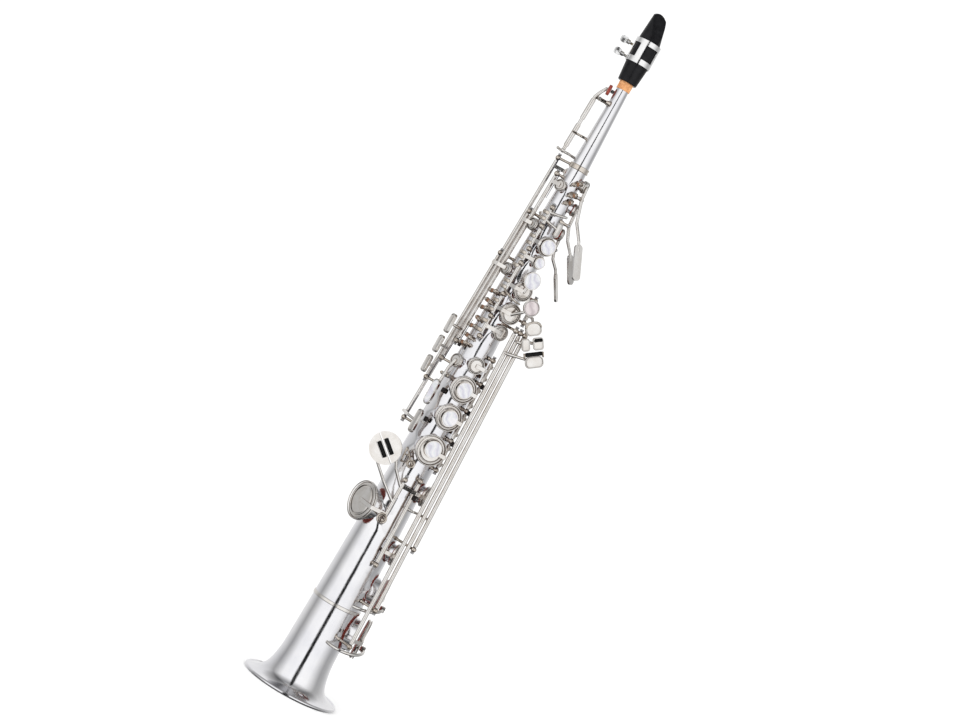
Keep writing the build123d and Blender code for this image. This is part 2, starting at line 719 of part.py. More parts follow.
def half_round(side):
    """Half of the round pair of pinky touches, slotted for its roller, which turns on a pin."""
    along = PINKY_PAIR_FACE.cross(PINKY_PAIR_SPLIT)
    frame = Plane(origin=PINKY_PAIR_CENTRE, x_dir=along, z_dir=PINKY_PAIR_FACE)
    half = Circle(15.0) & Pos(0, -side * (PINKY_PAIR_GAP / 2 + 10)) * Rectangle(40, 20)
    half -= Pos(0, -side * ROLLER_OFFSET) * Rectangle(PINKY_ROLLER_LENGTH + 0.8, 2 * ROLLER_RADIUS + 0.8)
    solid = frame * extrude(half, amount=1.2, both=True)
    return solid + roller_pin(side)


def roller_pin(side, radius=0.5, extra=1.0):
    """The pin, or the bore, or the body of the roller of one of the paired touches."""
    along = PINKY_PAIR_FACE.cross(PINKY_PAIR_SPLIT)
    middle = PINKY_PAIR_CENTRE + PINKY_PAIR_SPLIT * (side * ROLLER_OFFSET)
    reach = along * (PINKY_ROLLER_LENGTH / 2 + extra)
    return rod(middle - reach, middle + reach, radius)


def make_pinky_roller(side):
    """A black roller beside the split of the paired touches."""
    return roller_pin(side, ROLLER_RADIUS, 0) - roller_pin(side, 0.56, 2.0)


def make_levers():
    """The levers with no pad: G sharp, low C sharp, front F and the thumb's octave lever."""
    keys = {}
    hinge = HINGES["cs_lever"]
    foot_line = [hinge.point(194), at(194, 70, 15.0), at(194, 63, 8.4), at(194, 52.5, 7.6)]
    parts = [
        wire([hinge.point(374), Vector(45.5, -13.8, 379.0), table_point("cs_lever")], (1.6, 1.4, 1.2)),
        table_touch("cs_lever"),
        wire(foot_line, (1.5, 1.3, 1.2, 1.2)),
    ]
    keys["cs_lever"] = hinged("cs_lever", hinge, (165 + TUBE_GAP, 379.3 - TUBE_GAP), parts)
    hinge = HINGES["gs_lever"]
    parts = [
        wire([hinge.point(397), Vector(29.0, -17.0, 396.0), table_point("gs_lever")], (1.5, 1.4, 1.2)),
        table_touch("gs_lever"),
    ]
    keys["gs_lever"] = hinged("gs_lever", hinge, (389 + TUBE_GAP, 411 - TUBE_GAP), parts)
    hinge = HINGES["upper_stack"]
    touch = at(475.5, 33, 8.6)
    parts = [
        wire([hinge.point(479), at(477, 10, 8.4), touch], (1.5, 1.4, 1.2)),
        plate(touch, outward(33), Vector(0, 0, 1), 5.6, 14.0, 2.2, 2.6),
        wire([hinge.point(486), at(487, 10, 8.6), at(489, 40, 8.2)], (1.5, 1.3, 1.2)),
    ]
    keys["front_f"] = hinged("front_f", hinge, (472 + TUBE_GAP, 491 - TUBE_GAP), parts)
    keys["thumb"] = make_thumb_lever()
    return keys


def make_thumb_lever():
    """The octave lever: a curved touch at the back, a long tube and a finger round the neck."""
    hinge = HINGES["thumb"]
    touch = at(449, 186, 9.0)
    curve = [at(541, azimuth, 7.5) for azimuth in (190, 212, 232, 246)]
    hook = [at(541, 247, 15.5), at(541, 270, 17.6)]
    parts = [
        wire([hinge.point(449), touch], (1.6, 1.4)),
        plate(touch, outward(186), Vector(0, 0, 1), 13.0, 17.0, 2.0, 5.0),
        wire([hinge.point(541.5)] + curve + hook, (1.6, 1.35, 1.3, 1.3, 1.3, 1.3, 1.3)),
    ]
    return hinged("thumb", hinge, (438 + TUBE_GAP, 546 - TUBE_GAP), parts)


def at_rest(name, shape, share=1.0):
    """A shape of a key, turned from shut to where its spring leaves it."""
    if name not in STANDS_OPEN:
        return shape
    origin, direction = hinge_axis(name)
    angle = share * lift_sign(name) * OPENING[name]
    return shape.rotate(Axis(tuple(origin), tuple(direction)), angle)


def from_rest(name, shape):
    """A shape that is drawn where it rests, turned to where it is when its key is shut."""
    return at_rest(name, shape, -1.0)


def hinge_axis(name):
    """Where a key turns: a point on its rod and the rod's direction."""
    if name in CROSS_PIVOTS:
        pivot = CROSS_PIVOTS[name]
        return pivot.origin, pivot.direction
    line = HINGES[HINGE_OF.get(name, name)]
    return line.origin, line.direction


def lift_sign(name):
    """+1 if a positive turn about the key's rod lifts its cup off the tube, else -1."""
    z, azimuth = TONE_HOLES[name][:2]
    origin, direction = hinge_axis(name)
    sweep = direction.cross(at(z, azimuth, cup_back(name) / 2) - origin)
    return 1 if sweep.dot(outward(azimuth)) > 0 else -1


# ---------------------------------------------------------------- fittings on the tube


def soldered(pieces):
    """Pieces that stand on the tube, cut to its surface and to the tone holes' chimneys."""
    cut = []
    for piece in pieces:
        piece -= CONE_BLANK
        middle = piece.center()
        for name, (z, azimuth, hole, height, _) in TONE_HOLES.items():
            if (at(z, azimuth, 0) - middle).length < hole + 25:
                root = at(z, azimuth, -CHIMNEY_ROOT)
                piece -= disc(root, outward(azimuth), hole + CHIMNEY_WALL, height + CHIMNEY_ROOT)
        cut.append(piece)
    return cut


def make_posts():
    """All the pillars, cut to the tube and drilled for their rods."""
    groups = {"lower_posts": [], "upper_posts": []}
    for name, hinge in HINGES.items():
        group = "upper_posts" if hinge.posts[0] > 255 or name in ("gs_lever", "thumb") else "lower_posts"
        groups[group] += [piece - hinge.rod() for piece in soldered(hinge.post_parts())]
    for pivot in CROSS_PIVOTS.values():
        groups["upper_posts"] += [piece - pivot.rod() for piece in soldered(pivot.post_parts())]
    groups["lower_posts"] = merged(groups["lower_posts"])
    return groups


def merged(pieces):
    """The separate solids of a group, with those that meet each other made one."""
    whole = pieces[0]
    for piece in pieces[1:]:
        whole += piece
    return list(whole.solids())


def make_rods():
    """The steel rods that the keys turn on."""
    lines = list(HINGES.values()) + list(CROSS_PIVOTS.values())
    return [line.rod() for line in lines]


def make_guards():
    """Round bars that stand over the open low cups and stop them, each on a foot on the tube."""
    guards = []
    for foot, bulge, tip in GUARDS:
        root = at(foot[0], foot[1], foot[2] - GUARD_ROOT)
        path = ThreePointArc(tuple(root), tuple(at(*bulge)), tuple(at(*tip)))
        section = Plane(origin=path @ 0, z_dir=path % 0) * Circle(GUARD_BAR_RADIUS)
        normal = outward(tip[1])
        top = at(*tip) + normal * (GUARD_SOCKET_THICKNESS / 2)
        socket = disc(top, normal * -1, GUARD_SOCKET_RADIUS, GUARD_SOCKET_THICKNESS)
        guards.append(sweep(section, path=path) + socket)
    return soldered(guards)


def make_felts():
    """The felt buffers under the guards' sockets."""
    felts = []
    for _, _, tip in GUARDS:
        inward = outward(tip[1]) * -1
        face = at(*tip) + inward * (GUARD_SOCKET_THICKNESS / 2)
        felts.append(disc(face, inward, FELT_RADIUS, FELT_THICKNESS))
    return felts


def make_neck_cork():
    """The sleeve of cork that the mouthpiece is pushed on to."""
    length = BODY_END_Z - CORK_LOW_Z
    sleeve = Pos(0, 0, CORK_LOW_Z) * Cylinder(CORK_RADIUS, length, align=CENTRE_MIN)
    return sleeve - CONE_BLANK


def make_thumb_hook():
    """The right thumb's hook: a base on the back of the tube and a curved finger."""
    width = THUMB_HOOK_WIDTH
    back = outer_radius(THUMB_HOOK_Z)
    base = Pos(0, back + 1.0, THUMB_HOOK_Z + 4) * Box(width, 4.0, 26.0)
    curve = Pos(0, back + THUMB_HOOK_REACH, THUMB_HOOK_Z)
    ring = Rot(0, 90, 0) * (Cylinder(THUMB_HOOK_OUTER, width) - Cylinder(THUMB_HOOK_INNER, width))
    lower_part = Pos(0, 3.0, -8.0) * Box(width, 31.0, 17.0)
    return (base + curve * (ring - lower_part)) - CONE_BLANK


def make_thumb_rest():
    """The left thumb's round rest."""
    disc_solid = disc(at(THUMB_REST_Z, 180, -1.5), outward(180), THUMB_REST_RADIUS, 4.6)
    disc_solid = fillet(disc_solid.edges().group_by(Axis.Y)[-1], 0.9)
    return disc_solid - CONE_BLANK


def make_strap_ring():
    """The ring that a neck strap hooks on to."""
    centre = at(STRAP_RING_Z, 180, STRAP_RING_HEIGHT)
    ring = Rot(0, 90, 0) * Cylinder(STRAP_RING_RADIUS, STRAP_RING_WIDTH)
    ring = fillet(ring.edges(), 0.9)
    ring -= Rot(0, 90, 0) * Cylinder(STRAP_RING_HOLE, 2 * STRAP_RING_WIDTH)
    foot = disc(at(STRAP_RING_Z, 180, -2.0), outward(180), 4.0, 4.6)
    return (Pos(*centre) * ring + foot) - CONE_BLANK


# ---------------------------------------------------------------- mouthpiece


def turned(shape):
    """A mouthpiece part, turned from the X axis to the way the beak's slope faces."""
    return Rot(0, 0, BEAK_AZIMUTH - 90) * shape


def make_mouthpiece():
    """The beak: a turned shank and barrel, a flat table with a window, and a sloping, round tip."""
    radius = MOUTHPIECE_RADIUS
    with BuildPart() as turned_part:
        with BuildSketch(Plane.XZ):
            with BuildLine():
                Polyline(
                    (0, SHANK_LOW_Z), (8.6, SHANK_LOW_Z), (9.1, SHANK_LOW_Z + 0.6), (radius, 639.0),
                    (radius + 0.1, 646.0), (radius, BEAK_LOW_Z + 2), (radius, MOUTHPIECE_TOP_Z),
                    (0, MOUTHPIECE_TOP_Z), (0, SHANK_LOW_Z),
                )
            make_face()
        revolve(axis=Axis.Z)
    solid = turned_part.part
    height = MOUTHPIECE_TOP_Z - BEAK_LOW_Z
    shank = Pos(0, 0, SHANK_LOW_Z) * Cylinder(radius + 1, BEAK_LOW_Z - SHANK_LOW_Z, align=CENTRE_MIN)
    beak = loft([
        Pos(0, 0, BEAK_LOW_Z) * Circle(radius + 0.01),
        Pos(-BEAK_TIP_OFFSET, 0, MOUTHPIECE_TOP_Z) * Circle(BEAK_TIP_RADIUS),
    ])
    solid &= shank + beak
    shoulder_z = MOUTHPIECE_TOP_Z - 3.0
    with BuildPart() as outline:
        with BuildSketch(Plane.YZ):
            with BuildLine():
                Polyline(
                    (-6.2, shoulder_z), (-radius - 2, shoulder_z), (-radius - 2, SHANK_LOW_Z - 1),
                    (radius + 2, SHANK_LOW_Z - 1), (radius + 2, shoulder_z), (6.2, shoulder_z),
                )
                ThreePointArc((6.2, shoulder_z), (0, MOUTHPIECE_TOP_Z), (-6.2, shoulder_z))
            make_face()
        extrude(amount=2 * radius, both=True)
    solid &= outline.part
    with BuildPart() as slope:
        with BuildSketch(Plane.XZ):
            with BuildLine():
                Line((radius + 2, BEAK_LOW_Z - 4.5), (radius + 8, MOUTHPIECE_TOP_Z + 5))
                Line((radius + 8, MOUTHPIECE_TOP_Z + 5), (-6.4, MOUTHPIECE_TOP_Z + 0.5))
                ThreePointArc(
                    (-6.4, MOUTHPIECE_TOP_Z + 0.5),
                    (2.6, BEAK_LOW_Z + height * 0.52),
                    (radius + 2, BEAK_LOW_Z - 4.5),
                )
            make_face()
        extrude(amount=20, both=True)
    solid -= slope.part
    solid -= Pos(-TABLE_DEPTH - 10, 0, 636 + 30) * Box(20, 30, 60)
    solid -= Pos(0, 0, SHANK_LOW_Z - 1) * Cylinder(CORK_RADIUS + 0.06, 24, align=CENTRE_MIN)
    solid -= Pos(0, 0, 643) * Cylinder(4.6, 15, align=CENTRE_MIN)
    window = Polygon((-9.5, 654), (-0.5, 654), (-0.5, 672), (-5.8, 684.5), (-9.5, 684.5), align=None)
    solid -= extrude(Plane.XZ * window, amount=4.2, both=True)
    return one_solid("mouthpiece", turned(solid))


def make_reed():
    """The cane reed: flat against the table, with a bark side that is scraped thin to the tip."""
    low, scrape, high = 637.0, 664.0, 688.6
    with BuildPart() as side:
        with BuildSketch(Plane.XZ):
            with BuildLine():
                Polyline(
                    (-TABLE_DEPTH, low), (-TABLE_DEPTH - 2.6, low), (-TABLE_DEPTH - 2.6, scrape),
                    (-TABLE_DEPTH - 0.25, high), (-TABLE_DEPTH, high), (-TABLE_DEPTH, low),
                )
            make_face()
        extrude(amount=8, both=True)
    with BuildPart() as front:
        with BuildSketch(Plane.YZ):
            with BuildLine():
                Polyline((-5.6, high - 2.6), (-4.7, low), (4.7, low), (5.6, high - 2.6))
                ThreePointArc((5.6, high - 2.6), (0, high), (-5.6, high - 2.6))
            make_face()
        extrude(amount=20, both=True)
    barrel = Pos(0, 0, 600) * Cylinder(11.1, 100, align=CENTRE_MIN)
    return one_solid("reed", turned(side.part & front.part & barrel))


def make_ligature():
    """A band with cut-out windows that clamps the reed, with two lugs for its screws."""
    height = LIGATURE_HIGH_Z - LIGATURE_LOW_Z
    outside = LIGATURE_INNER + LIGATURE_WALL
    band = Pos(0, 0, LIGATURE_LOW_Z) * Cylinder(outside, height, align=CENTRE_MIN)
    band -= Pos(0, 0, LIGATURE_LOW_Z) * Cylinder(LIGATURE_INNER, height, align=CENTRE_MIN)
    for azimuth, opening in ((6, 52), (-62, 28), (92, 66), (-110, 24)):
        reach = 2 * outside
        wedge = Polygon(
            (0, 0),
            (reach * sin(radians(azimuth - opening / 2)), -reach * cos(radians(azimuth - opening / 2))),
            (reach * sin(radians(azimuth)) * 1.3, -reach * cos(radians(azimuth)) * 1.3),
            (reach * sin(radians(azimuth + opening / 2)), -reach * cos(radians(azimuth + opening / 2))),
            align=None,
        )
        band -= Pos(0, 0, 644.5) * extrude(wedge, amount=13.0)
    lugs = None
    for z in LIGATURE_SCREWS_Z:
        for step in (-3.4, 3.4):
            lug = Pos(-outside - 2.0, step, z) * Rot(90, 0, 0) * Cylinder(2.9, 2.4)
            lug += Pos(-outside - 0.6, step, z) * Box(2.4, 2.4, 5.0)
            lugs = lug if lugs is None else lugs + lug
    inside = Pos(0, 0, 630) * Cylinder(LIGATURE_INNER, 40, align=CENTRE_MIN)
    solid = band + (lugs - inside)
    solid -= Pos(-outside, 0, 650) * Box(4.0, 2.0, 40)
    for z in LIGATURE_SCREWS_Z:
        solid -= Pos(-outside - 2.0, 0, z) * Rot(90, 0, 0) * Cylinder(1.35, 20)
    return one_solid("ligature", turned(solid))


def make_ligature_screw(z):
    """A screw through the two lugs, with a flat thumb piece on its head."""
    offset = LIGATURE_INNER + LIGATURE_WALL + 2.0
    shaft = Pos(-offset, 5.6, z) * Rot(90, 0, 0) * Cylinder(1.25, 22.0, align=CENTRE_MIN)
    neck = Pos(-offset, -10.4, z) * Rot(90, 0, 0) * Cylinder(2.2, 3.0, align=CENTRE_MIN)
    wing = Pos(-offset, -16.4, z) * Box(2.0, 7.0, 6.6)
    wing = fillet(wing.edges().filter_by(Axis.X), 2.2)
    return one_solid("ligature_screw", turned(shaft + neck + wing))


# ---------------------------------------------------------------- the whole instrument

PAD_NODES = ("low_bb", "low_b", "low_cs", "low_c", "low_eb", "neck_octave")


def keep(nodes, name, shape):
    """Put a named sub-part in the model, as one shape even if it is a group of solids."""
    nodes[name] = Compound(children=list(shape)) if isinstance(shape, list) else shape


def build_all():
    """Every sub-part of the saxophone, at rest, by name."""
    nodes = {}
    keep(nodes, "body_tube", make_body_tube())
    keep(nodes, "bell", make_bell())
    keep(nodes, "bell_ring", make_bell_ring())
    for name, pieces in make_posts().items():
        keep(nodes, name, pieces)
    keep(nodes, "hinge_rods", make_rods())
    keep(nodes, "key_guards", make_guards())
    keep(nodes, "guard_felts", make_felts())
    keep(nodes, "neck_cork", make_neck_cork())
    keep(nodes, "thumb_hook", make_thumb_hook())
    keep(nodes, "thumb_rest", make_thumb_rest())
    keep(nodes, "strap_ring", make_strap_ring())
    keep(nodes, "mouthpiece", make_mouthpiece())
    keep(nodes, "reed", make_reed())
    keep(nodes, "ligature", make_ligature())
    keep(nodes, "ligature_screw_low", make_ligature_screw(LIGATURE_SCREWS_Z[0]))
    keep(nodes, "ligature_screw_high", make_ligature_screw(LIGATURE_SCREWS_Z[1]))
    for make_keys in (make_stack_keys, make_side_keys, make_rocking_keys, make_low_keys, make_levers):
        for name, shape in make_keys().items():
            keep(nodes, name + "_key", at_rest(name, shape))
    for name in PAD_NODES:
        keep(nodes, name + "_pad", at_rest(name, pad(name)))
    for name in PEARLS:
        keep(nodes, name + "_pearl", at_rest(name, pearl(name)))
    keep(nodes, "low_eb_roller", make_pinky_roller(1))
    keep(nodes, "low_c_roller", make_pinky_roller(-1))
    return nodes


def main():
    os.makedirs("parts", exist_ok=True)
    for name, shape in build_all().items():
        export_step(shape, "parts/" + name + ".step")


main()
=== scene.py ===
import bmesh
import bpy
import json
from math import cos, pi, radians, sin
from mathutils import Matrix, Vector


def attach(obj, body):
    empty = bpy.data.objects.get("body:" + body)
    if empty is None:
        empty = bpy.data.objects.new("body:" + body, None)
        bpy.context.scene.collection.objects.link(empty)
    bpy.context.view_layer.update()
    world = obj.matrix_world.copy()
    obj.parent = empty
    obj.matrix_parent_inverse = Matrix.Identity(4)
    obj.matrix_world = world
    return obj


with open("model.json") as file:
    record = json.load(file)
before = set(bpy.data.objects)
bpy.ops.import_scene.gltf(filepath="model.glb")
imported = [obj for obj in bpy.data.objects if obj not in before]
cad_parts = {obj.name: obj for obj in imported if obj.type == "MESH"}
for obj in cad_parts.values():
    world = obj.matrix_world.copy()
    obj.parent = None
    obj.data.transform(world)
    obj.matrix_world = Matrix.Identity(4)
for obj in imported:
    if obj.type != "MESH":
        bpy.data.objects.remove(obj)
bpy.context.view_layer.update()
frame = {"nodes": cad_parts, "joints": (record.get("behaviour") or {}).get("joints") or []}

# A straight soprano saxophone. Lengths are in millimetres and become metres in at() and mm(),
# except those of the camera, the studio and the materials, which are in metres.
# Azimuths are in degrees from the front of the tube (-Y) towards +X, as in the CAD model.

MM = 0.001

# ---- the conical tube ----
CONE_RADIUS_AT_NECK = 6.25
NECK_Z = 600.0
CONE_TAPER = 0.0325

# ---- pad cups: station, azimuth, chimney height, cup radius ----
CUPS = {
    "d": (250, 13, 2.4, 14.3),
    "e": (283, 13, 2.4, 12.4),
    "f": (311, 12, 2.4, 12.4),
    "fs": (335, 12, 2.2, 7.8),
    "fs_trill": (331, -37, 2.2, 6.3),
    "gs": (371, 33, 2.2, 7.4),
    "g": (390, 33, 2.2, 9.8),
    "a": (413, 34, 2.2, 9.0),
    "bis": (442, 33, 2.2, 6.2),
    "b": (458, 33, 2.2, 8.8),
    "side_bb": (424, -50, 2.2, 6.0),
    "side_c": (470, -51, 2.2, 6.0),
    "side_e": (512, -32, 2.2, 5.6),
    "palm_d": (474, 118, 2.2, 6.2),
    "palm_eb": (499, 95, 2.2, 6.2),
    "palm_f": (521, 70, 2.2, 6.0),
    "high_fs": (526, -158, 2.2, 5.6),
    "body_octave": (497, -156, 3.0, 3.4),
}
STANDS_OPEN = ("low_bb", "low_b", "low_c", "d", "e", "f", "fs", "g", "a", "bis", "b")
PAD_GAP = 0.15
PAD_PROUD = 0.8
CUP_WALL = 0.7
PAD_CLEARANCE = 0.05         # between a pad's edge and its cup's wall
PAD_BACK = 0.9               # how far a pad reaches into its cup
RESONATOR_FROM = 4           # smallest pad radius that has a resonator
STEP_FROM = 7                # smallest cup radius that has a step inside its bead

# cups whose pads are solids of the CAD model
LARGE_CUPS = {
    "low_bb": (68, 104, 3.0, 19.5),
    "low_b": (111, 104, 3.0, 16.5),
    "low_cs": (151, 80, 2.5, 10.8),
    "low_c": (181, -62, 3.0, 18.5),
    "low_eb": (210, 78, 2.5, 10.2),
}
CUP_DEPTH = 3.2

# ---- hinge lines: azimuth, height of the rod, post stations ----
HINGE_LINES = {
    "lower_stack": (62, 4.5, (236, 265, 295, 322, 346)),
    "upper_stack": (-15, 5.0, (360, 380.5, 403, 434.5, 449, 472, 491)),
    "side_e": (-80, 6.5, (346, 520)),
    "side_c": (-97, 10.0, (326, 479)),
    "side_bb": (-108, 14.5, (304, 434)),
    "high_fs": (-120, 16.0, (262, 534)),
    "low_c": (0, 6.0, (175, 216)),
    "low_cs": (33, 4.5, (137, 221)),
    "low_bb": (50, 14.5, (62, 379.3)),
    "low_b": (57, 17.5, (101, 379.3)),
    "cs_lever": (63, 21.0, (165, 379.3)),
    "gs_lever": (74, 12.0, (389, 411)),
    "thumb": (165, 5.0, (438, 546)),
}
ROD_END = 3.2                # from an end post's centre to the end of its rod
ROD_SCREW_RADIUS = 1.7
ROD_SCREW_HEIGHT = 0.9
SUNK_FOOT = -0.5             # height of a soldered foot's end, just inside the tube's wall

# ---- needle springs ----
SPRING_REACH = 24.0          # longest spring along its rod
SPRING_SHARE = 0.62          # most that a spring takes of the space between two posts
SPRING_RADII = (0.42, 0.24)  # at the post and at the tip
SPRING_OFFSET = 1.5          # sideways from the rod
PAIRED_SPRINGS_FROM = 60     # distance between posts from which both have a spring

UPRIGHT = Vector((0, 0, 1))

# ---- side touches: the direction they face, then key, centre and length ----
SIDE_FACE = Vector((-0.83, -0.56, 0))
SIDE_TOUCHES = (
    ("side_e", (-33.0, -10.5, 357), 19.0),
    ("side_c", (-33.4, -8.0, 336), 17.0),
    ("side_bb", (-34.0, -5.0, 315.5), 17.0),
)
SIDE_TOUCH_WIDTH = 7.0
SIDE_TOUCH_CORNER = 3.2
SIDE_TOUCH_THICKNESS = 2.4

# ---- touches over the tube: key, station, azimuth, height, azimuth faced, length, width, corner, finish ----
TUBE_TOUCHES = (
    ("high_fs", 266.5, -44, 8.0, -50, 23.0, 7.0, 3.3, "key"),
    ("fs_trill", 296, -49, 7.2, -49, 25.0, 8.6, 4.2, "pearl"),
    ("front_f", 475.5, 33, 8.6, 33, 14.0, 5.6, 2.6, "key"),
)
TOUCH_THICKNESS = 2.2

# ---- the G key's inlay ----
G_INLAY_CENTRE = (24.5, -21.5, 403.5)
G_INLAY_AZIMUTH = 25
G_INLAY_LIFT = 1.2
G_RING_RADIUS = 7.0

# ---- the A key's arm: station, azimuth, height ----
A_KEY_ARM = ((407, -15, 6.6), (404, 4, 9.5), (401.8, 24, 9.2), (401.5, 40, 7.0))
A_KEY_ARM_RADII = (1.1, 0.8)

# ---- the left pinky's table: place along its rows, place up across them, width, height, corner ----
TABLE_CENTRE = (44.0, -22.3, 369.0)
TABLE_SLANT = 34.0
TABLE_AZIMUTH = 18
TABLE_TOUCHES = {
    "low_bb": (1.0, -7.9, 17.0, 10.4, 4.0),
    "low_b": (-5.8, 8.4, 7.6, 11.4, 2.4),
    "cs_lever": (5.8, 8.4, 9.6, 11.4, 2.4),
    "gs_lever": (2.2, 22.2, 15.0, 12.6, 4.5),
}
LONG_ROLLER = (1.0, -0.6, 0.2, 15.6, 1.95)    # along, up, lift, length, radius
SHORT_ROLLER = (5.8, 11.6, 0.9, 7.4, 1.75)
LUG_REACH = 8.6              # from the long roller's middle to each lug
RIM_REACH = (7.2, 6.0)       # half axes of the rim over the G sharp touch
RIM_LIFT = 1.6
RIM_RADIUS = 0.8

# ---- small regulating tabs over the stack rods: station and key ----
UPPER_TAB_SWING = -17        # degrees from the rod to the tab's middle
LOWER_TAB_SWING = 20
UPPER_TABS = (
    (365, "gs"), (374.5, "gs"), (386, "g"), (395, "g"), (409, "a"), (415, "a"), (431, "a"),
    (439.5, "bis"), (444, "bis"), (454, "b"), (461, "b"), (479, "front_f"), (485, "front_f"),
)
LOWER_TABS = (
    (242, "d"), (258, "d"), (272, "e"), (288, "e"), (301, "f"), (316, "f"), (328, "fs"), (340, "fs"),
)

# ---- black felts near posts and feet: station, azimuth, height ----
BLACK_FELTS = (
    (263.5, 61, 8.2), (294.5, 61, 8.2), (321.0, 61, 8.2), (272.0, -31, 3.6), (302.0, -29, 3.6),
    (345.0, -62, 5.0), (205.5, 33, 8.4),
)

# ---- small bridges over the tube: first and last station, first and last azimuth, height ----
BRIDGES = (
    (347, 349, -68, -30, 5.4), (356, 354, -66, -27, 5.0), (364, 366, -68, -30, 5.6),
    (374, 372, -66, -40, 3.6), (383, 385, -68, -30, 5.4), (392, 390, -66, -27, 5.0),
    (400, 402, -68, -30, 5.6), (499, 505, 14, 50, 4.4), (507, 512, 14, 50, 4.8), (517, 523, 8, 44, 4.6),
)
BRIDGE_RADIUS = 0.95

# ---- guide rings: station, azimuth, height, radius ----
GUIDE_RINGS = ((176.5, -3, 9.4, 4.1), (231.0, -6, 7.0, 3.3))
GUIDE_FOOT = -0.6            # height of a ring's foot, just inside the tube's wall

# ---- corners of the A-shaped bracket: station, azimuth, height ----
BRACKET_APEX = (242.5, -31, 6.2)
BRACKET_LEFT = (229.0, -29, 5.6)
BRACKET_RIGHT = (230.0, -2, 6.8)

# ---- fittings at the neck ----
COLLAR_Z = 534
FORK_Z = 560
NECK_AZIMUTH = -90
FORK_SPREAD = 3.6
OCTAVE_PAD_Z = 608
OCTAVE_PAD_HEIGHT = 3.25

# ---- camera: places in metres, lens and sensor in millimetres ----
CAMERA_PLACE = (0.0, -2.0, 0.390)
CAMERA_TARGET = (0.00615, 0.0, 0.34089)
CAMERA_ROLL = 29.184         # degrees that the instrument leans to the right in the picture
CAMERA_LENS = 83.617
CAMERA_SENSOR = 36

# ---- studio, in metres ----
WORLD_STRENGTH = 1.12
LIGHT_TARGET = (0, 0, 0.35)
LIGHT_SIZE = (1.2, 1.2)
FLOOR_REACH = 6
FLOOR_DROP = 0.0002
TENT_RADIUS = 4.0
TENT_STRENGTH = 4.0
TENT_CENTRE_Z = 0.39

# ---- brightness of the light tent: by azimuth from the front, and by elevation ----
TENT_SIDES = (
    (-180, 0.86), (-146, 0.80), (-118, 0.64), (-106, 0.52), (-92, 0.34), (-76, 0.54), (-50, 0.96),
    (-8.5, 1.03), (-6.0, 0.01), (6.0, 0.01), (8.5, 1.03), (48, 0.97), (74, 0.62), (92, 0.38),
    (112, 0.42), (140, 0.62), (165, 0.80), (180, 0.86),
)
TENT_HEIGHTS = (
    (-90, 0.06), (-50, 0.10), (-26, 0.85), (-14, 1.0), (32, 1.0), (48, 0.55), (65, 0.30), (90, 0.5),
)

JOINTS = {joint["name"]: joint for joint in frame["joints"]}


# ---------------------------------------------------------------- places and small helpers


def outer_radius(z):
    return CONE_RADIUS_AT_NECK + CONE_TAPER * (NECK_Z - z)


def outward(azimuth):
    return Vector((sin(radians(azimuth)), -cos(radians(azimuth)), 0))


def sideways(azimuth):
    return Vector((cos(radians(azimuth)), sin(radians(azimuth)), 0))


def at(z, azimuth, height):
    """The point, in metres, at a station, an azimuth and a height above the tube."""
    return (outward(azimuth) * (outer_radius(z) + height) + Vector((0, 0, z))) * MM


def mm(x, y, z):
    return Vector((x, y, z)) * MM


def shut_to_rest(key):
    """The turn that brings a key from shut to where it stands at rest."""
    if key not in STANDS_OPEN:
        return Matrix.Identity(4)
    joint = JOINTS[key + "_hinge"]
    low, high = joint["range_deg"]
    shut = high if abs(high) > abs(low) else low
    place = Vector(joint["pos_m"])
    turn = Matrix.Rotation(radians(-shut), 4, Vector(joint["axis"]))
    return Matrix.Translation(place) @ turn @ Matrix.Translation(-place)


def frame_on(place, normal, along=UPRIGHT):
    """A matrix with its Z on the normal, its X near along and its origin at the place."""
    z = normal.normalized()
    x = (along - z * along.dot(z)).normalized()
    y = z.cross(x)
    turn = Matrix((x, y, z)).transposed().to_4x4()
    return Matrix.Translation(place) @ turn


def new_object(name, mesh, material, smooth=True):
    thing = bpy.data.objects.new(name, mesh)
    bpy.context.scene.collection.objects.link(thing)
    mesh.materials.append(material)
    for polygon in mesh.polygons:
        polygon.use_smooth = smooth
    return thing


def mesh_from(name, points, faces):
    mesh = bpy.data.meshes.new(name)
    mesh.from_pydata([tuple(point) for point in points], [], faces)
    mesh.validate()
    return mesh


def lathe_mesh(name, profile, place, steps=48):
    """A solid of revolution from (radius, height) pairs in mm, which end on the axis or where they began."""
    points, faces, rings = [], [], []
    for radius, height in profile:
        if radius < 1e-6:
            rings.append([len(points)])
            points.append(place @ mm(0, 0, height))
        else:
            rings.append(list(range(len(points), len(points) + steps)))
            for i in range(steps):
                angle = 2 * pi * i / steps
                points.append(place @ mm(radius * cos(angle), radius * sin(angle), height))
    for low, high in zip(rings, rings[1:]):
        for i in range(steps):
            j = (i + 1) % steps
            if len(low) == 1 and len(high) == 1:
                break
            if len(low) == 1:
                faces.append((low[0], high[j], high[i]))
            elif len(high) == 1:
                faces.append((low[i], low[j], high[0]))
            else:
                faces.append((low[i], low[j], high[j], high[i]))
    return mesh_from(name, points, faces)


def joined(name, meshes, material):
    """One object from several meshes."""
    work = bmesh.new()
    for mesh in meshes:
        work.from_mesh(mesh)
        bpy.data.meshes.remove(mesh)
    bmesh.ops.recalc_face_normals(work, faces=work.faces)
    whole = bpy.data.meshes.new(name)
    work.to_mesh(whole)
    work.free()
    return new_object(name, whole, material)


def finished(thing, body):
    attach(thing, body)


# ---------------------------------------------------------------- materials


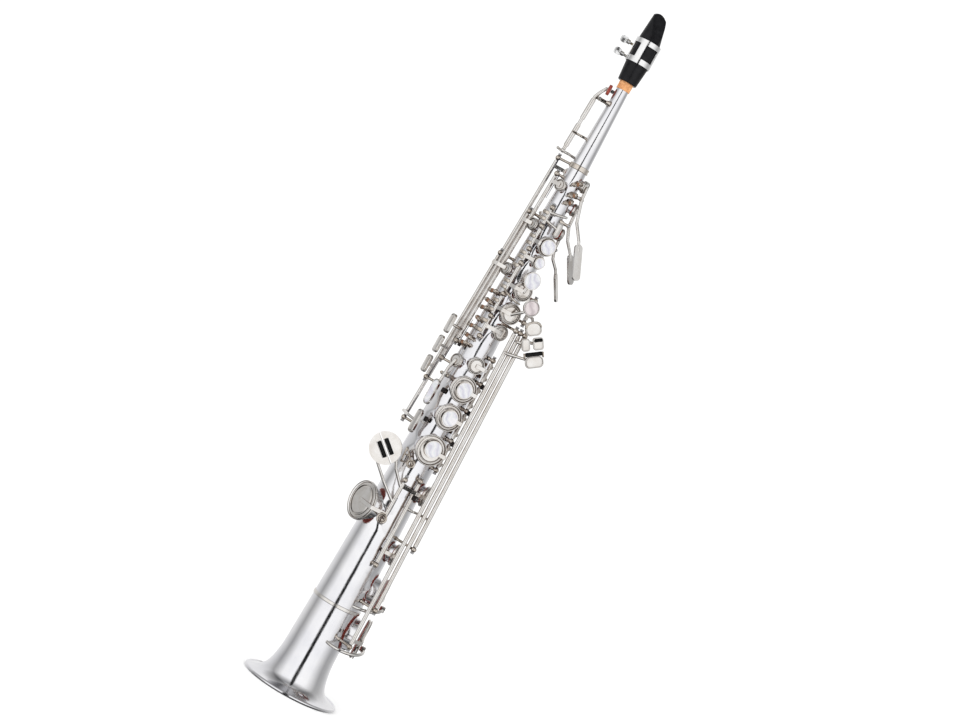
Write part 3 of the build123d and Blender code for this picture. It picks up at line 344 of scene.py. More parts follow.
class Shader:
    """A principled material that is built up node by node."""

    def __init__(self, name, **values):
        self.material = bpy.data.materials.new(name)
        self.material.use_nodes = True
        self.nodes = self.material.node_tree.nodes
        self.links = self.material.node_tree.links
        self.surface = self.nodes["Principled BSDF"]
        for key, value in values.items():
            self.surface.inputs[key.replace("_", " ").title()].default_value = value
        self.place = self.nodes.new("ShaderNodeTexCoord").outputs["Object"]

    def stretched(self, scale):
        node = self.nodes.new("ShaderNodeMapping")
        node.inputs["Scale"].default_value = scale
        self.links.new(self.place, node.inputs["Vector"])
        return node.outputs["Vector"]

    def noise(self, scale, detail=4.0, rough=0.55, vector=None):
        node = self.nodes.new("ShaderNodeTexNoise")
        node.inputs["Scale"].default_value = scale
        node.inputs["Detail"].default_value = detail
        node.inputs["Roughness"].default_value = rough
        self.links.new(vector or self.place, node.inputs["Vector"])
        return node.outputs["Fac"]

    def cells(self, scale):
        node = self.nodes.new("ShaderNodeTexVoronoi")
        node.inputs["Scale"].default_value = scale
        self.links.new(self.place, node.inputs["Vector"])
        return node.outputs["Distance"]

    def ramp(self, factor, stops):
        node = self.nodes.new("ShaderNodeValToRGB")
        ramp = node.color_ramp
        while len(ramp.elements) < len(stops):
            ramp.elements.new(0.5)
        for element, (position, colour) in zip(ramp.elements, stops):
            element.position = position
            element.color = (*colour, 1) if len(colour) == 3 else (colour[0],) * 3 + (1,)
        self.links.new(factor, node.inputs["Fac"])
        return node.outputs["Color"]

    def multiplied(self, one, other, factor=1.0):
        node = self.nodes.new("ShaderNodeMix")
        node.data_type = "RGBA"
        node.blend_type = "MULTIPLY"
        node.inputs["Factor"].default_value = factor
        self.links.new(one, node.inputs["A"])
        self.links.new(other, node.inputs["B"])
        return node.outputs["Result"]

    def painted_crevice_shade(self, distance, stops):
        """A painted shade: a colour by how open the surface is, darker where nearby parts hide it; the first
        stop is the painted shade in a corner.
        """
        node = self.nodes.new("ShaderNodeAmbientOcclusion")
        node.samples = 6
        node.inputs["Distance"].default_value = distance
        return self.ramp(node.outputs["AO"], stops)

    def colour(self, output):
        self.links.new(output, self.surface.inputs["Base Color"])

    def roughness(self, output):
        self.links.new(output, self.surface.inputs["Roughness"])

    def bump(self, heights, distance):
        """One bump from several (height, strength) pairs."""
        before = None
        for height, strength in heights:
            node = self.nodes.new("ShaderNodeBump")
            node.inputs["Strength"].default_value = strength
            node.inputs["Distance"].default_value = distance
            self.links.new(height, node.inputs["Height"])
            if before:
                self.links.new(before, node.inputs["Normal"])
            before = node.outputs["Normal"]
        self.links.new(before, self.surface.inputs["Normal"])


def silver_tube():
    """Bright plate on the tube: faint ripples from the drawn sheet and light, cool tarnish."""
    shader = Shader("silver_tube", metallic=1.0)
    cloud = shader.noise(28, 6, 0.6)
    shader.colour(shader.ramp(cloud, [(0.3, (0.83, 0.83, 0.87)), (0.62, (0.945, 0.94, 0.955))]))
    shader.roughness(shader.ramp(shader.noise(70, 5), [(0.3, (0.07,)), (0.75, (0.17,))]))
    ripple = shader.noise(1.0, 2, 0.5, shader.stretched((45, 45, 120)))
    fine = shader.noise(900, 3)
    shader.bump([(ripple, 0.10), (fine, 0.03)], 0.001)
    return shader.material


def warm_keywork(name, bright, dull, painted_corner_shade):
    """Plated keywork: polished where fingers and cloth reach, with random tarnish, and warm painted shade
    darkening the corners and the gaps between parts.
    """
    shader = Shader(name, metallic=1.0)
    cloud = shader.noise(90, 5, 0.6)
    tarnish = shader.ramp(cloud, [(0.35, dull), (0.62, bright)])
    # painted shade: the colour turns towards the given dark tint where nearby parts within 10 mm hide the
    # surface, in corners and under other keys
    wide = shader.painted_crevice_shade(0.010, [(0.10, painted_corner_shade), (0.72, (1.0, 1.0, 1.0))])
    # painted shade, dark warm brown, in the tight gaps between parts within 2.2 mm
    tight_painted_shade = shader.painted_crevice_shade(0.0022, [(0.15, (0.20, 0.13, 0.10)), (0.60, (1.0, 1.0, 1.0))])
    shader.colour(shader.multiplied(shader.multiplied(tarnish, wide), tight_painted_shade))
    shader.roughness(shader.ramp(shader.noise(160, 4), [(0.3, (0.09,)), (0.8, (0.22,))]))
    shader.bump([(shader.noise(260, 3), 0.08), (shader.noise(1500, 2), 0.04)], 0.0006)
    return shader.material


def steel_rod():
    shader = Shader("steel_rod", metallic=1.0)
    turning = shader.noise(1.0, 2, 0.5, shader.stretched((300, 300, 2600)))
    shader.colour(shader.ramp(turning, [(0.3, (0.48, 0.48, 0.50)), (0.7, (0.70, 0.70, 0.71))]))
    shader.roughness(shader.ramp(turning, [(0.3, (0.22,)), (0.7, (0.36,))]))
    shader.bump([(turning, 0.15)], 0.0003)
    return shader.material


def pad_leather():
    """Waxed, dark red-brown leather with a fine grain."""
    shader = Shader("pad_leather", coat_weight=0.25, coat_roughness=0.3)
    grain = shader.cells(2200)
    patches = shader.noise(240, 4)
    colour = shader.ramp(patches, [(0.3, (0.17, 0.018, 0.012)), (0.7, (0.36, 0.055, 0.030))])
    shader.colour(shader.multiplied(colour, shader.ramp(grain, [(0.0, (0.55,)), (0.5, (1.0,))]), 0.6))
    shader.roughness(shader.ramp(patches, [(0.3, (0.38,)), (0.7, (0.58,))]))
    shader.bump([(grain, 0.35), (patches, 0.2)], 0.0003)
    return shader.material


def mother_of_pearl(name, tints):
    """Shell with soft, slightly coloured waves."""
    shader = Shader(name, coat_weight=0.35, coat_roughness=0.1, roughness=0.3)
    wave = shader.nodes.new("ShaderNodeTexWave")
    wave.bands_direction = "DIAGONAL"
    wave.inputs["Scale"].default_value = 55
    wave.inputs["Distortion"].default_value = 7
    wave.inputs["Detail"].default_value = 3
    wave.inputs["Detail Scale"].default_value = 1.6
    shader.links.new(shader.place, wave.inputs["Vector"])
    shader.colour(shader.ramp(wave.outputs["Fac"], tints))
    shader.bump([(wave.outputs["Fac"], 0.08)], 0.0002)
    return shader.material


def black_resin(name, low, high, gloss):
    """Black rubber or resin, with a faint haze from handling."""
    shader = Shader(name)
    shader.surface.inputs["Specular IOR Level"].default_value = gloss
    haze = shader.noise(180, 5)
    shader.colour(shader.ramp(haze, [(0.3, low), (0.75, high)]))
    shader.roughness(shader.ramp(haze, [(0.3, (0.24,)), (0.8, (0.42,))]))
    shader.bump([(shader.noise(1400, 3), 0.06), (shader.noise(90, 2), 0.05)], 0.0003)
    return shader.material


def blued_steel():
    shader = Shader("blued_steel", metallic=1.0)
    heat = shader.noise(320, 3)
    shader.colour(shader.ramp(heat, [(0.3, (0.03, 0.035, 0.06)), (0.75, (0.10, 0.10, 0.13))]))
    shader.roughness(shader.ramp(heat, [(0.3, (0.25,)), (0.8, (0.4,))]))
    return shader.material


def pressed_cork(name, low, high):
    """Thin sheet cork or dense felt, with pores."""
    shader = Shader(name, roughness=0.9)
    pores = shader.cells(1100)
    cloud = shader.noise(500, 5)
    colour = shader.ramp(cloud, [(0.3, low), (0.7, high)])
    shader.colour(shader.multiplied(colour, shader.ramp(pores, [(0.05, (0.4,)), (0.3, (1.0,))]), 0.8))
    shader.bump([(pores, 0.5)], 0.0003)
    return shader.material


def red_felt():
    shader = Shader("red_felt", roughness=0.95, sheen_weight=0.5, sheen_roughness=0.6)
    fibres = shader.noise(2600, 6, 0.7)
    shader.colour(shader.ramp(fibres, [(0.3, (0.12, 0.015, 0.012)), (0.7, (0.30, 0.05, 0.035))]))
    shader.bump([(fibres, 0.8)], 0.0003)
    return shader.material


def neck_cork():
    """Orange-tan cork with dark flecks and pores."""
    shader = Shader("neck_cork")
    flecks = shader.cells(650)
    cloud = shader.noise(300, 5)
    colour = shader.ramp(cloud, [(0.3, (0.52, 0.21, 0.07)), (0.7, (0.82, 0.42, 0.18))])
    shader.colour(shader.multiplied(colour, shader.ramp(flecks, [(0.05, (0.35,)), (0.28, (1.0,))]), 0.8))
    shader.roughness(shader.ramp(cloud, [(0.3, (0.55,)), (0.8, (0.85,))]))
    shader.bump([(flecks, 0.5), (cloud, 0.3)], 0.0004)
    return shader.material


def cane_reed():
    """Cane with long fibres up the reed."""
    shader = Shader("cane_reed", roughness=0.5)
    fibres = shader.noise(1.0, 5, 0.6, shader.stretched((1900, 1900, 60)))
    shader.colour(shader.ramp(fibres, [(0.3, (0.58, 0.40, 0.17)), (0.7, (0.86, 0.71, 0.42))]))
    shader.bump([(fibres, 0.35)], 0.0002)
    return shader.material


def make_materials():
    bright, dull = (0.90, 0.88, 0.855), (0.79, 0.75, 0.705)
    pearl = [
        (0.0, (0.50, 0.50, 0.56)), (0.35, (0.62, 0.60, 0.65)),
        (0.7, (0.57, 0.61, 0.62)), (1.0, (0.68, 0.66, 0.68)),
    ]
    rose = [(0.0, (0.42, 0.37, 0.38)), (0.4, (0.52, 0.46, 0.47)), (1.0, (0.60, 0.55, 0.55))]
    return {
        "tube": silver_tube(),
        # the last colour given to each plated finish is its painted shade in corners and between parts
        "key": warm_keywork("keywork_silver", bright, dull, (0.34, 0.24, 0.18)),
        "post": warm_keywork("post_silver", (0.80, 0.74, 0.67), (0.60, 0.52, 0.44), (0.20, 0.11, 0.06)),
        "ligature": warm_keywork("ligature_silver", (0.97, 0.97, 0.97), (0.92, 0.92, 0.92), (0.6, 0.6, 0.6)),
        "steel": steel_rod(),
        "blued": blued_steel(),
        "pad": pad_leather(),
        "pearl": mother_of_pearl("mother_of_pearl", pearl),
        "rose_pearl": mother_of_pearl("rose_pearl", rose),
        "roller": black_resin("roller_resin", (0.002, 0.002, 0.002), (0.008, 0.008, 0.008), 0.15),
        "rest": black_resin("rest_resin", (0.006, 0.006, 0.006), (0.020, 0.019, 0.018), 0.3),
        "ebonite": black_resin("ebonite", (0.003, 0.003, 0.004), (0.012, 0.012, 0.014), 0.2),
        "felt": red_felt(),
        "black_felt": pressed_cork("black_felt", (0.004, 0.003, 0.003), (0.018, 0.012, 0.011)),
        "sheet_cork": pressed_cork("sheet_cork", (0.12, 0.055, 0.03), (0.26, 0.14, 0.08)),
        "cork": neck_cork(),
        "cane": cane_reed(),
    }


MATERIALS = make_materials()
NODE_MATERIALS = {
    "body_tube": "tube", "bell": "tube", "bell_ring": "key", "lower_posts": "post", "upper_posts": "post",
    "hinge_rods": "steel", "key_guards": "key", "guard_felts": "felt", "neck_cork": "cork",
    "thumb_hook": "key", "thumb_rest": "rest", "strap_ring": "key", "mouthpiece": "ebonite",
    "reed": "cane", "ligature": "ligature", "ligature_screw_low": "ligature",
    "ligature_screw_high": "ligature",
}
SUFFIX_MATERIALS = {"_key": "key", "_pad": "pad", "_pearl": "pearl", "_roller": "roller"}


def dress_nodes():
    """Every CAD node gets its own finish."""
    for name, node in frame["nodes"].items():
        finish = NODE_MATERIALS.get(name)
        for suffix, material in SUFFIX_MATERIALS.items():
            if name.endswith(suffix):
                finish = material
        node.data.materials.clear()
        node.data.materials.append(MATERIALS[finish])


# ---------------------------------------------------------------- pads of the smaller cups


def make_pad(key):
    """A leather pad in its cup, with a rounded edge and, where it is large enough, a metal resonator."""
    station, azimuth, chimney, cup_radius = CUPS[key]
    seat = frame_on(at(station, azimuth, chimney + PAD_GAP), outward(azimuth))
    place = shut_to_rest(key) @ seat
    radius = cup_radius - CUP_WALL - PAD_CLEARANCE
    edge = PAD_PROUD
    profile = [
        (0, 0.25), (radius * 0.55, 0.22), (radius * 0.72, 0.0), (radius - 0.55, 0.0), (radius - 0.2, 0.12),
        (radius, edge * 0.5), (radius, edge + PAD_BACK), (0, edge + PAD_BACK),
    ]
    pad = joined(key + "_leather", [lathe_mesh(key + "_leather", profile, place)], MATERIALS["pad"])
    finished(pad, key)
    if radius > RESONATOR_FROM:
        dome = radius * 0.42
        profile = [(0, 0.02), (dome * 0.6, 0.05), (dome, 0.2), (dome, 0.4), (0, 0.4)]
        mesh = lathe_mesh(key + "_resonator", profile, place, 32)
        finished(joined(key + "_resonator", [mesh], MATERIALS["post"]), key)


# ---------------------------------------------------------------- meshes for the small details


def tube_mesh(name, points, radius, closed=False, steps=12):
    """A round bar along a row of points in metres. The radius, in mm, may be a (first, last) pair."""
    first, last = radius if isinstance(radius, tuple) else (radius, radius)
    count = len(points)
    verts, faces = [], []
    side = None
    for i, point in enumerate(points):
        before = points[i - 1] if closed or i else point
        after = points[(i + 1) % count] if closed or i + 1 < count else point
        along = (after - before).normalized()
        side = side or along.orthogonal()
        side = (side - along * side.dot(along)).normalized()
        other = along.cross(side)
        size = (first + (last - first) * i / max(count - 1, 1)) * MM
        for k in range(steps):
            angle = 2 * pi * k / steps
            verts.append(point + (side * cos(angle) + other * sin(angle)) * size)
    for i in range(count if closed else count - 1):
        low, high = i * steps, (i + 1) % count * steps
        for k in range(steps):
            j = (k + 1) % steps
            faces.append((low + k, low + j, high + j, high + k))
    if not closed:
        faces.append(tuple(range(steps - 1, -1, -1)))
        faces.append(tuple(range((count - 1) * steps, count * steps)))
    return mesh_from(name, verts, faces)


def curved(points, steps=6):
    """More points, in metres, on a smooth curve through a few."""
    ends = [points[0] * 2 - points[1], *points, points[-1] * 2 - points[-2]]
    line = []
    for a, b, c, d in zip(ends, ends[1:], ends[2:], ends[3:]):
        for i in range(steps):
            t = i / steps
            square = (a * 2 - b * 5 + c * 4 - d) * t * t
            cube = (b * 3 - a - c * 3 + d) * t ** 3
            line.append((b * 2 + (c - a) * t + square + cube) / 2)
    return line + [points[-1]]


def rounded_outline(length, width, corner, steps=6):
    """A rectangle with round corners, as (x, y) pairs in mm."""
    outline = []
    for quarter, (side_x, side_y) in enumerate(((1, 1), (-1, 1), (-1, -1), (1, -1))):
        for i in range(steps + 1):
            angle = radians(90) * (quarter + i / steps)
            outline.append((
                side_x * (length / 2 - corner) + corner * cos(angle),
                side_y * (width / 2 - corner) + corner * sin(angle),
            ))
    return outline


def slab_mesh(name, place, outline, levels):
    """A solid over an outline: (share of the outline's size, height in mm) pairs from foot to top."""
    count = len(outline)
    verts = [place @ mm(x * share, y * share, height) for share, height in levels for x, y in outline]
    faces = [tuple(range(count - 1, -1, -1)), tuple(range((len(levels) - 1) * count, len(levels) * count))]
    for row in range(len(levels) - 1):
        low, high = row * count, (row + 1) * count
        for k in range(count):
            j = (k + 1) % count
            faces.append((low + k, low + j, high + j, high + k))
    return mesh_from(name, verts, faces)


def ring_mesh(name, place, radius, height, thickness, steps=40):
    """A round wire ring, as on the edge of a cup."""
    points = []
    for i in range(steps):
        angle = 2 * pi * i / steps
        points.append(place @ mm(radius * cos(angle), radius * sin(angle), height))
    return tube_mesh(name, points, thickness, closed=True, steps=10)


def screw_mesh(name, place, radius, height):
    """A slotted screw head, standing on the place's Z."""
    outline = []
    for i in range(13):
        angle = pi * i / 12
        outline.append((radius * cos(angle), radius * 0.14 + (radius * 0.86) * sin(angle)))
    levels = [(1, -0.6), (1, height * 0.75), (0.9, height)]
    halves = [slab_mesh(name, place @ Matrix.Rotation(turn, 4, "Z"), outline, levels) for turn in (0, pi)]
    floor = height * 0.35
    profile = [(0, -0.7), (radius * 0.97, -0.7), (radius * 0.97, floor), (0, floor)]
    return [*halves, lathe_mesh(name, profile, place, 24)]


# ---------------------------------------------------------------- posts, rods and springs


def make_rod_screws():
    """A slotted head on each end of each long rod."""
    meshes = []
    for azimuth, height, posts in HINGE_LINES.values():
        low, high = at(posts[0], azimuth, height), at(posts[-1], azimuth, height)
        along = (high - low).normalized()
        across = sideways(azimuth)
        for end, away in ((low, -along), (high, along)):
            place = frame_on(end + away * ROD_END * MM, away, across)
            meshes += screw_mesh("screw", place, ROD_SCREW_RADIUS, ROD_SCREW_HEIGHT)
    finished(joined("rod_screws", meshes, MATERIALS["steel"]), "body")


def make_springs():
    """Blued needle springs, each from a post along the rod beside it."""
    meshes = []
    for azimuth, height, posts in HINGE_LINES.values():
        for low, high in zip(posts, posts[1:]):
            reach = min(SPRING_REACH, (high - low) * SPRING_SHARE)
            for side in ((1,) if high - low < PAIRED_SPRINGS_FROM else (1, -1)):
                start_z = low if side > 0 else high
                shift = sideways(azimuth) * SPRING_OFFSET * MM
                start = at(start_z, azimuth, height - 2.3) + shift
                end = at(start_z + side * reach, azimuth, height - 2.6) + shift * 1.35
                middle = (start + end) / 2 + shift * 0.25
                needle = curved([start, middle, end], 5)
                meshes.append(tube_mesh("spring", needle, SPRING_RADII, steps=8))
    finished(joined("needle_springs", meshes, MATERIALS["blued"]), "body")


def make_guide_rings():
    """Round guide rings on the front of the tube, one on a small A-shaped bracket."""
    meshes = []
    for z, azimuth, height, radius in GUIDE_RINGS:
        place = frame_on(at(z, azimuth, height), outward(azimuth))
        meshes.append(ring_mesh("ring", place, radius, 0, 0.85))
        meshes.append(ring_mesh("ring", place, radius * 0.62, -0.5, 0.45))
        foot = at(z - radius, azimuth, GUIDE_FOOT)
        meshes.append(tube_mesh("stem", curved([foot, at(z - radius, azimuth, height)], 4), 0.9))
    left, right = at(*BRACKET_LEFT), at(*BRACKET_RIGHT)
    foot = at(*BRACKET_LEFT[:2], GUIDE_FOOT)
    for start, end in ((at(*BRACKET_APEX), left), (at(*BRACKET_APEX), right), (left, foot)):
        meshes.append(tube_mesh("leg", curved([start, end], 4), 0.95))
    meshes.append(tube_mesh("bar", curved([at(236, -30, 5.9), at(236.5, -15, 6.3)], 4), 0.8))
    finished(joined("guide_rings", meshes, MATERIALS["post"]), "body")


def make_neck_fittings():
    """The collar below the neck, the fork that keeps the octave lever straight, and the octave pad's skin."""
    radius = outer_radius(COLLAR_Z)
    profile = [
        (radius - 0.4, 531.2), (radius + 0.9, 531.2), (radius + 1.3, 531.9), (radius + 0.8, 532.8),
        (radius + 0.8, 534.4), (radius + 1.3, 535.3), (radius + 0.9, 536.0), (radius - 0.4, 536.0),
        (radius - 0.4, 531.2),
    ]
    collar = lathe_mesh("collar", profile, Matrix.Identity(4))
    finished(joined("neck_collar", [collar], MATERIALS["post"]), "body")
    foot, crotch = at(FORK_Z, NECK_AZIMUTH, SUNK_FOOT), at(FORK_Z, NECK_AZIMUTH, 6.0)
    fork = [tube_mesh("stem", curved([foot, crotch], 3), 1.25)]
    for side in (-1, 1):
        shift = sideways(NECK_AZIMUTH) * (FORK_SPREAD * side * MM)
        prong = [crotch]
        for height, spread in ((6.6, 0.7), (9.0, 1.0), (14.5, 1.0)):
            prong.append(at(FORK_Z, NECK_AZIMUTH, height) + shift * spread)
        fork.append(tube_mesh("prong", curved(prong, 5), (1.0, 0.8)))
    finished(joined("octave_fork", fork, MATERIALS["post"]), "body")
    cup = frame_on(at(OCTAVE_PAD_Z, NECK_AZIMUTH, OCTAVE_PAD_HEIGHT), outward(NECK_AZIMUTH))
    profile = [(4.45, 0.0), (4.95, 0.15), (5.05, 1.2), (5.0, 2.6), (4.7, 3.0), (4.45, 3.0), (4.45, 0.0)]
    mesh = lathe_mesh("octave_pad_skin", profile, cup, 36)
    finished(joined("octave_pad_skin", [mesh], MATERIALS["pad"]), "neck_octave")


def make_felts():
    """Black felts near the posts and the keys' feet, each on a thin stalk."""
    felts, stalks = [], []
    outline = rounded_outline(4.6, 3.8, 0.9, 3)
    levels = [(0.94, -1.4), (1, -1.1), (1, 0.2), (0.9, 0.5), (0.7, 0.6)]
    for z, azimuth, height in BLACK_FELTS:
        place = frame_on(at(z, azimuth, height), outward(azimuth))
        felts.append(slab_mesh("felt", place, outline, levels))
        stalk = curved([at(z, azimuth, SUNK_FOOT), at(z, azimuth, height - 1.0)], 3)
        stalks.append(tube_mesh("stalk", stalk, 0.8))
    finished(joined("buffer_felts", felts, MATERIALS["black_felt"]), "body")
    finished(joined("buffer_stalks", stalks, MATERIALS["post"]), "body")


def make_bridges():
    """Small bridges soldered over the tube, with regulating screws and corks."""
    bars, corks = [], []
    boss = [(0, -2.4), (2.0, -2.4), (2.1, -1.9), (2.1, -0.5), (1.5, -0.1), (0, -0.1)]
    outline = rounded_outline(3.4, 3.0, 0.7, 3)
    levels = [(0.92, -0.6), (1, -0.4), (1, 0.7), (0.85, 1.0)]
    for low, high, start, end, height in BRIDGES:
        points = [at(low, start, SUNK_FOOT), at(low, start, height * 0.7)]
        for i in range(5):
            share = (i + 0.5) / 5
            points.append(at(low + (high - low) * share, start + (end - start) * share, height))
        points += [at(high, end, height * 0.7), at(high, end, SUNK_FOOT)]
        bars.append(tube_mesh("bridge", curved(points, 4), BRIDGE_RADIUS))
        for share in (0.22, 0.72):
            z, azimuth = low + (high - low) * share, start + (end - start) * share
            place = frame_on(at(z, azimuth, height + 0.7), outward(azimuth))
            bars += screw_mesh("screw", place, 1.5, 0.8)
            bars.append(lathe_mesh("boss", boss, place, 24))
        azimuth = (start + end) / 2
        middle = frame_on(at((low + high) / 2, azimuth, height + 0.4), outward(azimuth))
        corks.append(slab_mesh("cork", middle, outline, levels))
    finished(joined("bridges", bars, MATERIALS["post"]), "body")
    finished(joined("bridge_corks", corks, MATERIALS["sheet_cork"]), "body")


# ---------------------------------------------------------------- keys


def make_tab(z, key, line, swing):
    """A regulating tab soldered to a key's tube, with its slotted screw and a cork under it."""
    azimuth, height, _ = HINGE_LINES[line]
    turn = shut_to_rest(key)
    middle = azimuth + swing
    tip = turn @ at(z, middle, height + 0.9)
    root = turn @ at(z, azimuth + swing * 0.2, height + 1.5)
    facing = outward(middle)
    along = (tip - root).normalized()
    normal = (facing - along * facing.dot(along)).normalized()
    place = frame_on((tip + root) / 2, normal, along)
    length = (tip - root).length / MM + 3.4
    outline = rounded_outline(length, 3.6, 1.6, 4)
    meshes = [slab_mesh("tab", place, outline, [(0.96, -0.5), (1, -0.3), (1, 0.35), (0.93, 0.6)])]
    end = frame_on(tip, normal, along)
    meshes += screw_mesh("screw", end @ Matrix.Translation(mm(0, 0, 0.5)), 1.25, 0.7)
    name = "%s_tab_%d" % (key, round(z))
    finished(joined(name, meshes, MATERIALS["post"]), key)
    levels = [(0.92, -2.0), (1, -1.8), (1, -0.5)]
    cork = slab_mesh("cork", end, rounded_outline(3.2, 3.0, 0.5, 3), levels)
    finished(joined(name + "_cork", [cork], MATERIALS["sheet_cork"]), key)


def make_cup_rings(key, station, azimuth, chimney, cup_radius):
    """The turned bead round a cup's back and the step inside it."""
    back = chimney + PAD_GAP + PAD_PROUD + CUP_DEPTH
    place = shut_to_rest(key) @ frame_on(at(station, azimuth, back), outward(azimuth))
    meshes = [ring_mesh("bead", place, cup_radius - 0.55, -0.05, 0.5)]
    if cup_radius > STEP_FROM:
        meshes.append(ring_mesh("step", place, cup_radius * 0.76, -0.1, 0.34))
    finished(joined(key + "_cup_bead", meshes, MATERIALS["key"]), key)


def make_touch(name, key, place, length, width, corner, thickness, material="key"):
    """The crowned face of a finger touch, with a bead round its edge."""
    outline = rounded_outline(length, width, corner)
    top = thickness / 2
    levels = [
        (0.90, top - 0.4), (0.90, top), (0.80, top + 0.22),
        (0.62, top + 0.42), (0.36, top + 0.54), (0.12, top + 0.58),
    ]
    crown = slab_mesh("crown", place, outline, levels)
    finished(joined(name + "_crown", [crown], MATERIALS[material]), key)
    inside = rounded_outline(length - 1.1, width - 1.1, max(corner - 0.55, 0.6), 7)
    bead = tube_mesh("bead", [place @ mm(x, y, top - 0.02) for x, y in inside], 0.5, closed=True, steps=10)
    finished(joined(name + "_bead", [bead], MATERIALS["key"]), key)


def table_place(along, up, lift=0.0):
    """A frame on the left pinky's table: X up across the rows, Y along them, Z off the face."""
    slant = radians(TABLE_SLANT)
    rows = sideways(TABLE_AZIMUTH) * cos(slant) + UPRIGHT * sin(slant)
    rise = UPRIGHT * cos(slant) - sideways(TABLE_AZIMUTH) * sin(slant)
    normal = outward(TABLE_AZIMUTH)
    centre = Vector(TABLE_CENTRE) + rows * along + rise * up + normal * lift
    return frame_on(centre * MM, normal, rise)


def roller_mesh(place, length, radius):
    """A roller that lies along the place's Y, with rounded ends and a faint waist."""
    turned = place @ Matrix.Rotation(-pi / 2, 4, "X")
    half = length / 2
    profile = [
        (0, -half), (radius - 0.7, -half), (radius - 0.15, -half + 0.35), (radius, -half + 0.9),
        (radius - 0.12, 0), (radius, half - 0.9), (radius - 0.15, half - 0.35), (radius - 0.7, half),
        (0, half),
    ]
    return lathe_mesh("roller", profile, turned, 32)


def make_table():
    """The left pinky's table: crowned touches, a long and a short roller, and their lugs."""
    for key, (along, up, width, height, corner) in TABLE_TOUCHES.items():
        make_touch("table_" + key, key, table_place(along, up), height, width, corner, TOUCH_THICKNESS)
    along, up, lift, length, radius = LONG_ROLLER
    long_roller = roller_mesh(table_place(along, up, lift), length, radius)
    finished(joined("table_roller_long", [long_roller], MATERIALS["roller"]), "low_bb")
    lugs = []
    outline = rounded_outline(5.2, 1.3, 0.6, 3)
    levels = [(0.95, -1.4), (1, -1.1), (1, 1.2), (0.9, 1.5)]
    for side in (-LUG_REACH, LUG_REACH):
        lugs.append(slab_mesh("lug", table_place(along + side, up - 1.0), outline, levels))
    finished(joined("table_roller_lugs", lugs, MATERIALS["post"]), "low_bb")
    along, up, lift, length, radius = SHORT_ROLLER
    short_roller = roller_mesh(table_place(along, up, lift), length, radius)
    finished(joined("table_roller_short", [short_roller], MATERIALS["roller"]), "cs_lever")
    rim_points = []
    along, up = TABLE_TOUCHES["gs_lever"][:2]
    wide, high = RIM_REACH
    for i in range(11):
        angle = radians(10 + 16 * i)
        place = table_place(along + wide * cos(angle), up + high * sin(angle), RIM_LIFT)
        rim_points.append(place.translation)
    rim = tube_mesh("rim", curved(rim_points, 3), RIM_RADIUS)
    finished(joined("table_rim", [rim], MATERIALS["post"]), "gs_lever")


def make_touches():
    """Crowns on the side, high F sharp, trill and front F touches, and the G key's pearly inlay."""
    for key, centre, length in SIDE_TOUCHES:
        place = frame_on(mm(*centre), SIDE_FACE)
        width, corner, thickness = SIDE_TOUCH_WIDTH, SIDE_TOUCH_CORNER, SIDE_TOUCH_THICKNESS
        make_touch(key + "_touch", key, place, length, width, corner, thickness)
    for key, z, azimuth, height, faced, length, width, corner, finish in TUBE_TOUCHES:
        place = frame_on(at(z, azimuth, height), outward(faced))
        make_touch(key + "_touch", key, place, length, width, corner, TOUCH_THICKNESS, finish)
    normal = outward(G_INLAY_AZIMUTH)
    centre = mm(*G_INLAY_CENTRE) + normal * (G_INLAY_LIFT * MM)
    place = shut_to_rest("g") @ frame_on(centre, normal)
    profile = [(0, -0.6), (6.3, -0.6), (6.5, 0.1), (5.6, 0.5), (3.4, 0.85), (0, 1.0)]
    inlay = lathe_mesh("g_pearl", profile, place)
    finished(joined("g_pearl", [inlay], MATERIALS["rose_pearl"]), "g")
    ring = ring_mesh("g_ring", place, G_RING_RADIUS, 0.05, 0.5)
    finished(joined("g_ring", [ring], MATERIALS["key"]), "g")


def make_a_key_arm():
    """The A key's arm, from its tube across the front to the G key's inlay."""
    turn = shut_to_rest("a")
    arm = [turn @ at(*point) for point in A_KEY_ARM]
    mesh = tube_mesh("arm", curved(arm), A_KEY_ARM_RADII)
    finished(joined("a_key_arm", [mesh], MATERIALS["post"]), "a")


def make_key_details():
    for z, key in UPPER_TABS:
        make_tab(z, key, "upper_stack", UPPER_TAB_SWING)
    for z, key in LOWER_TABS:
        make_tab(z, key, "lower_stack", LOWER_TAB_SWING)
    for key, (station, azimuth, chimney, cup_radius) in {**CUPS, **LARGE_CUPS}.items():
        make_cup_rings(key, station, azimuth, chimney, cup_radius)
    make_table()
    make_touches()
    make_a_key_arm()


# ---------------------------------------------------------------- stage


def make_floor():
    r = FLOOR_REACH
    mesh = mesh_from("floor", [(-r, -r, 0), (r, -r, 0), (r, r, 0), (-r, r, 0)], [(0, 1, 2, 3)])
    shader = Shader("floor_paper", roughness=0.9)
    shader.colour(shader.ramp(shader.noise(6, 3), [(0.3, (0.955,)), (0.7, (0.965,))]))
    floor = new_object("floor", mesh, shader.material, smooth=False)
    floor.location.z = -FLOOR_DROP
    floor.visible_glossy = False


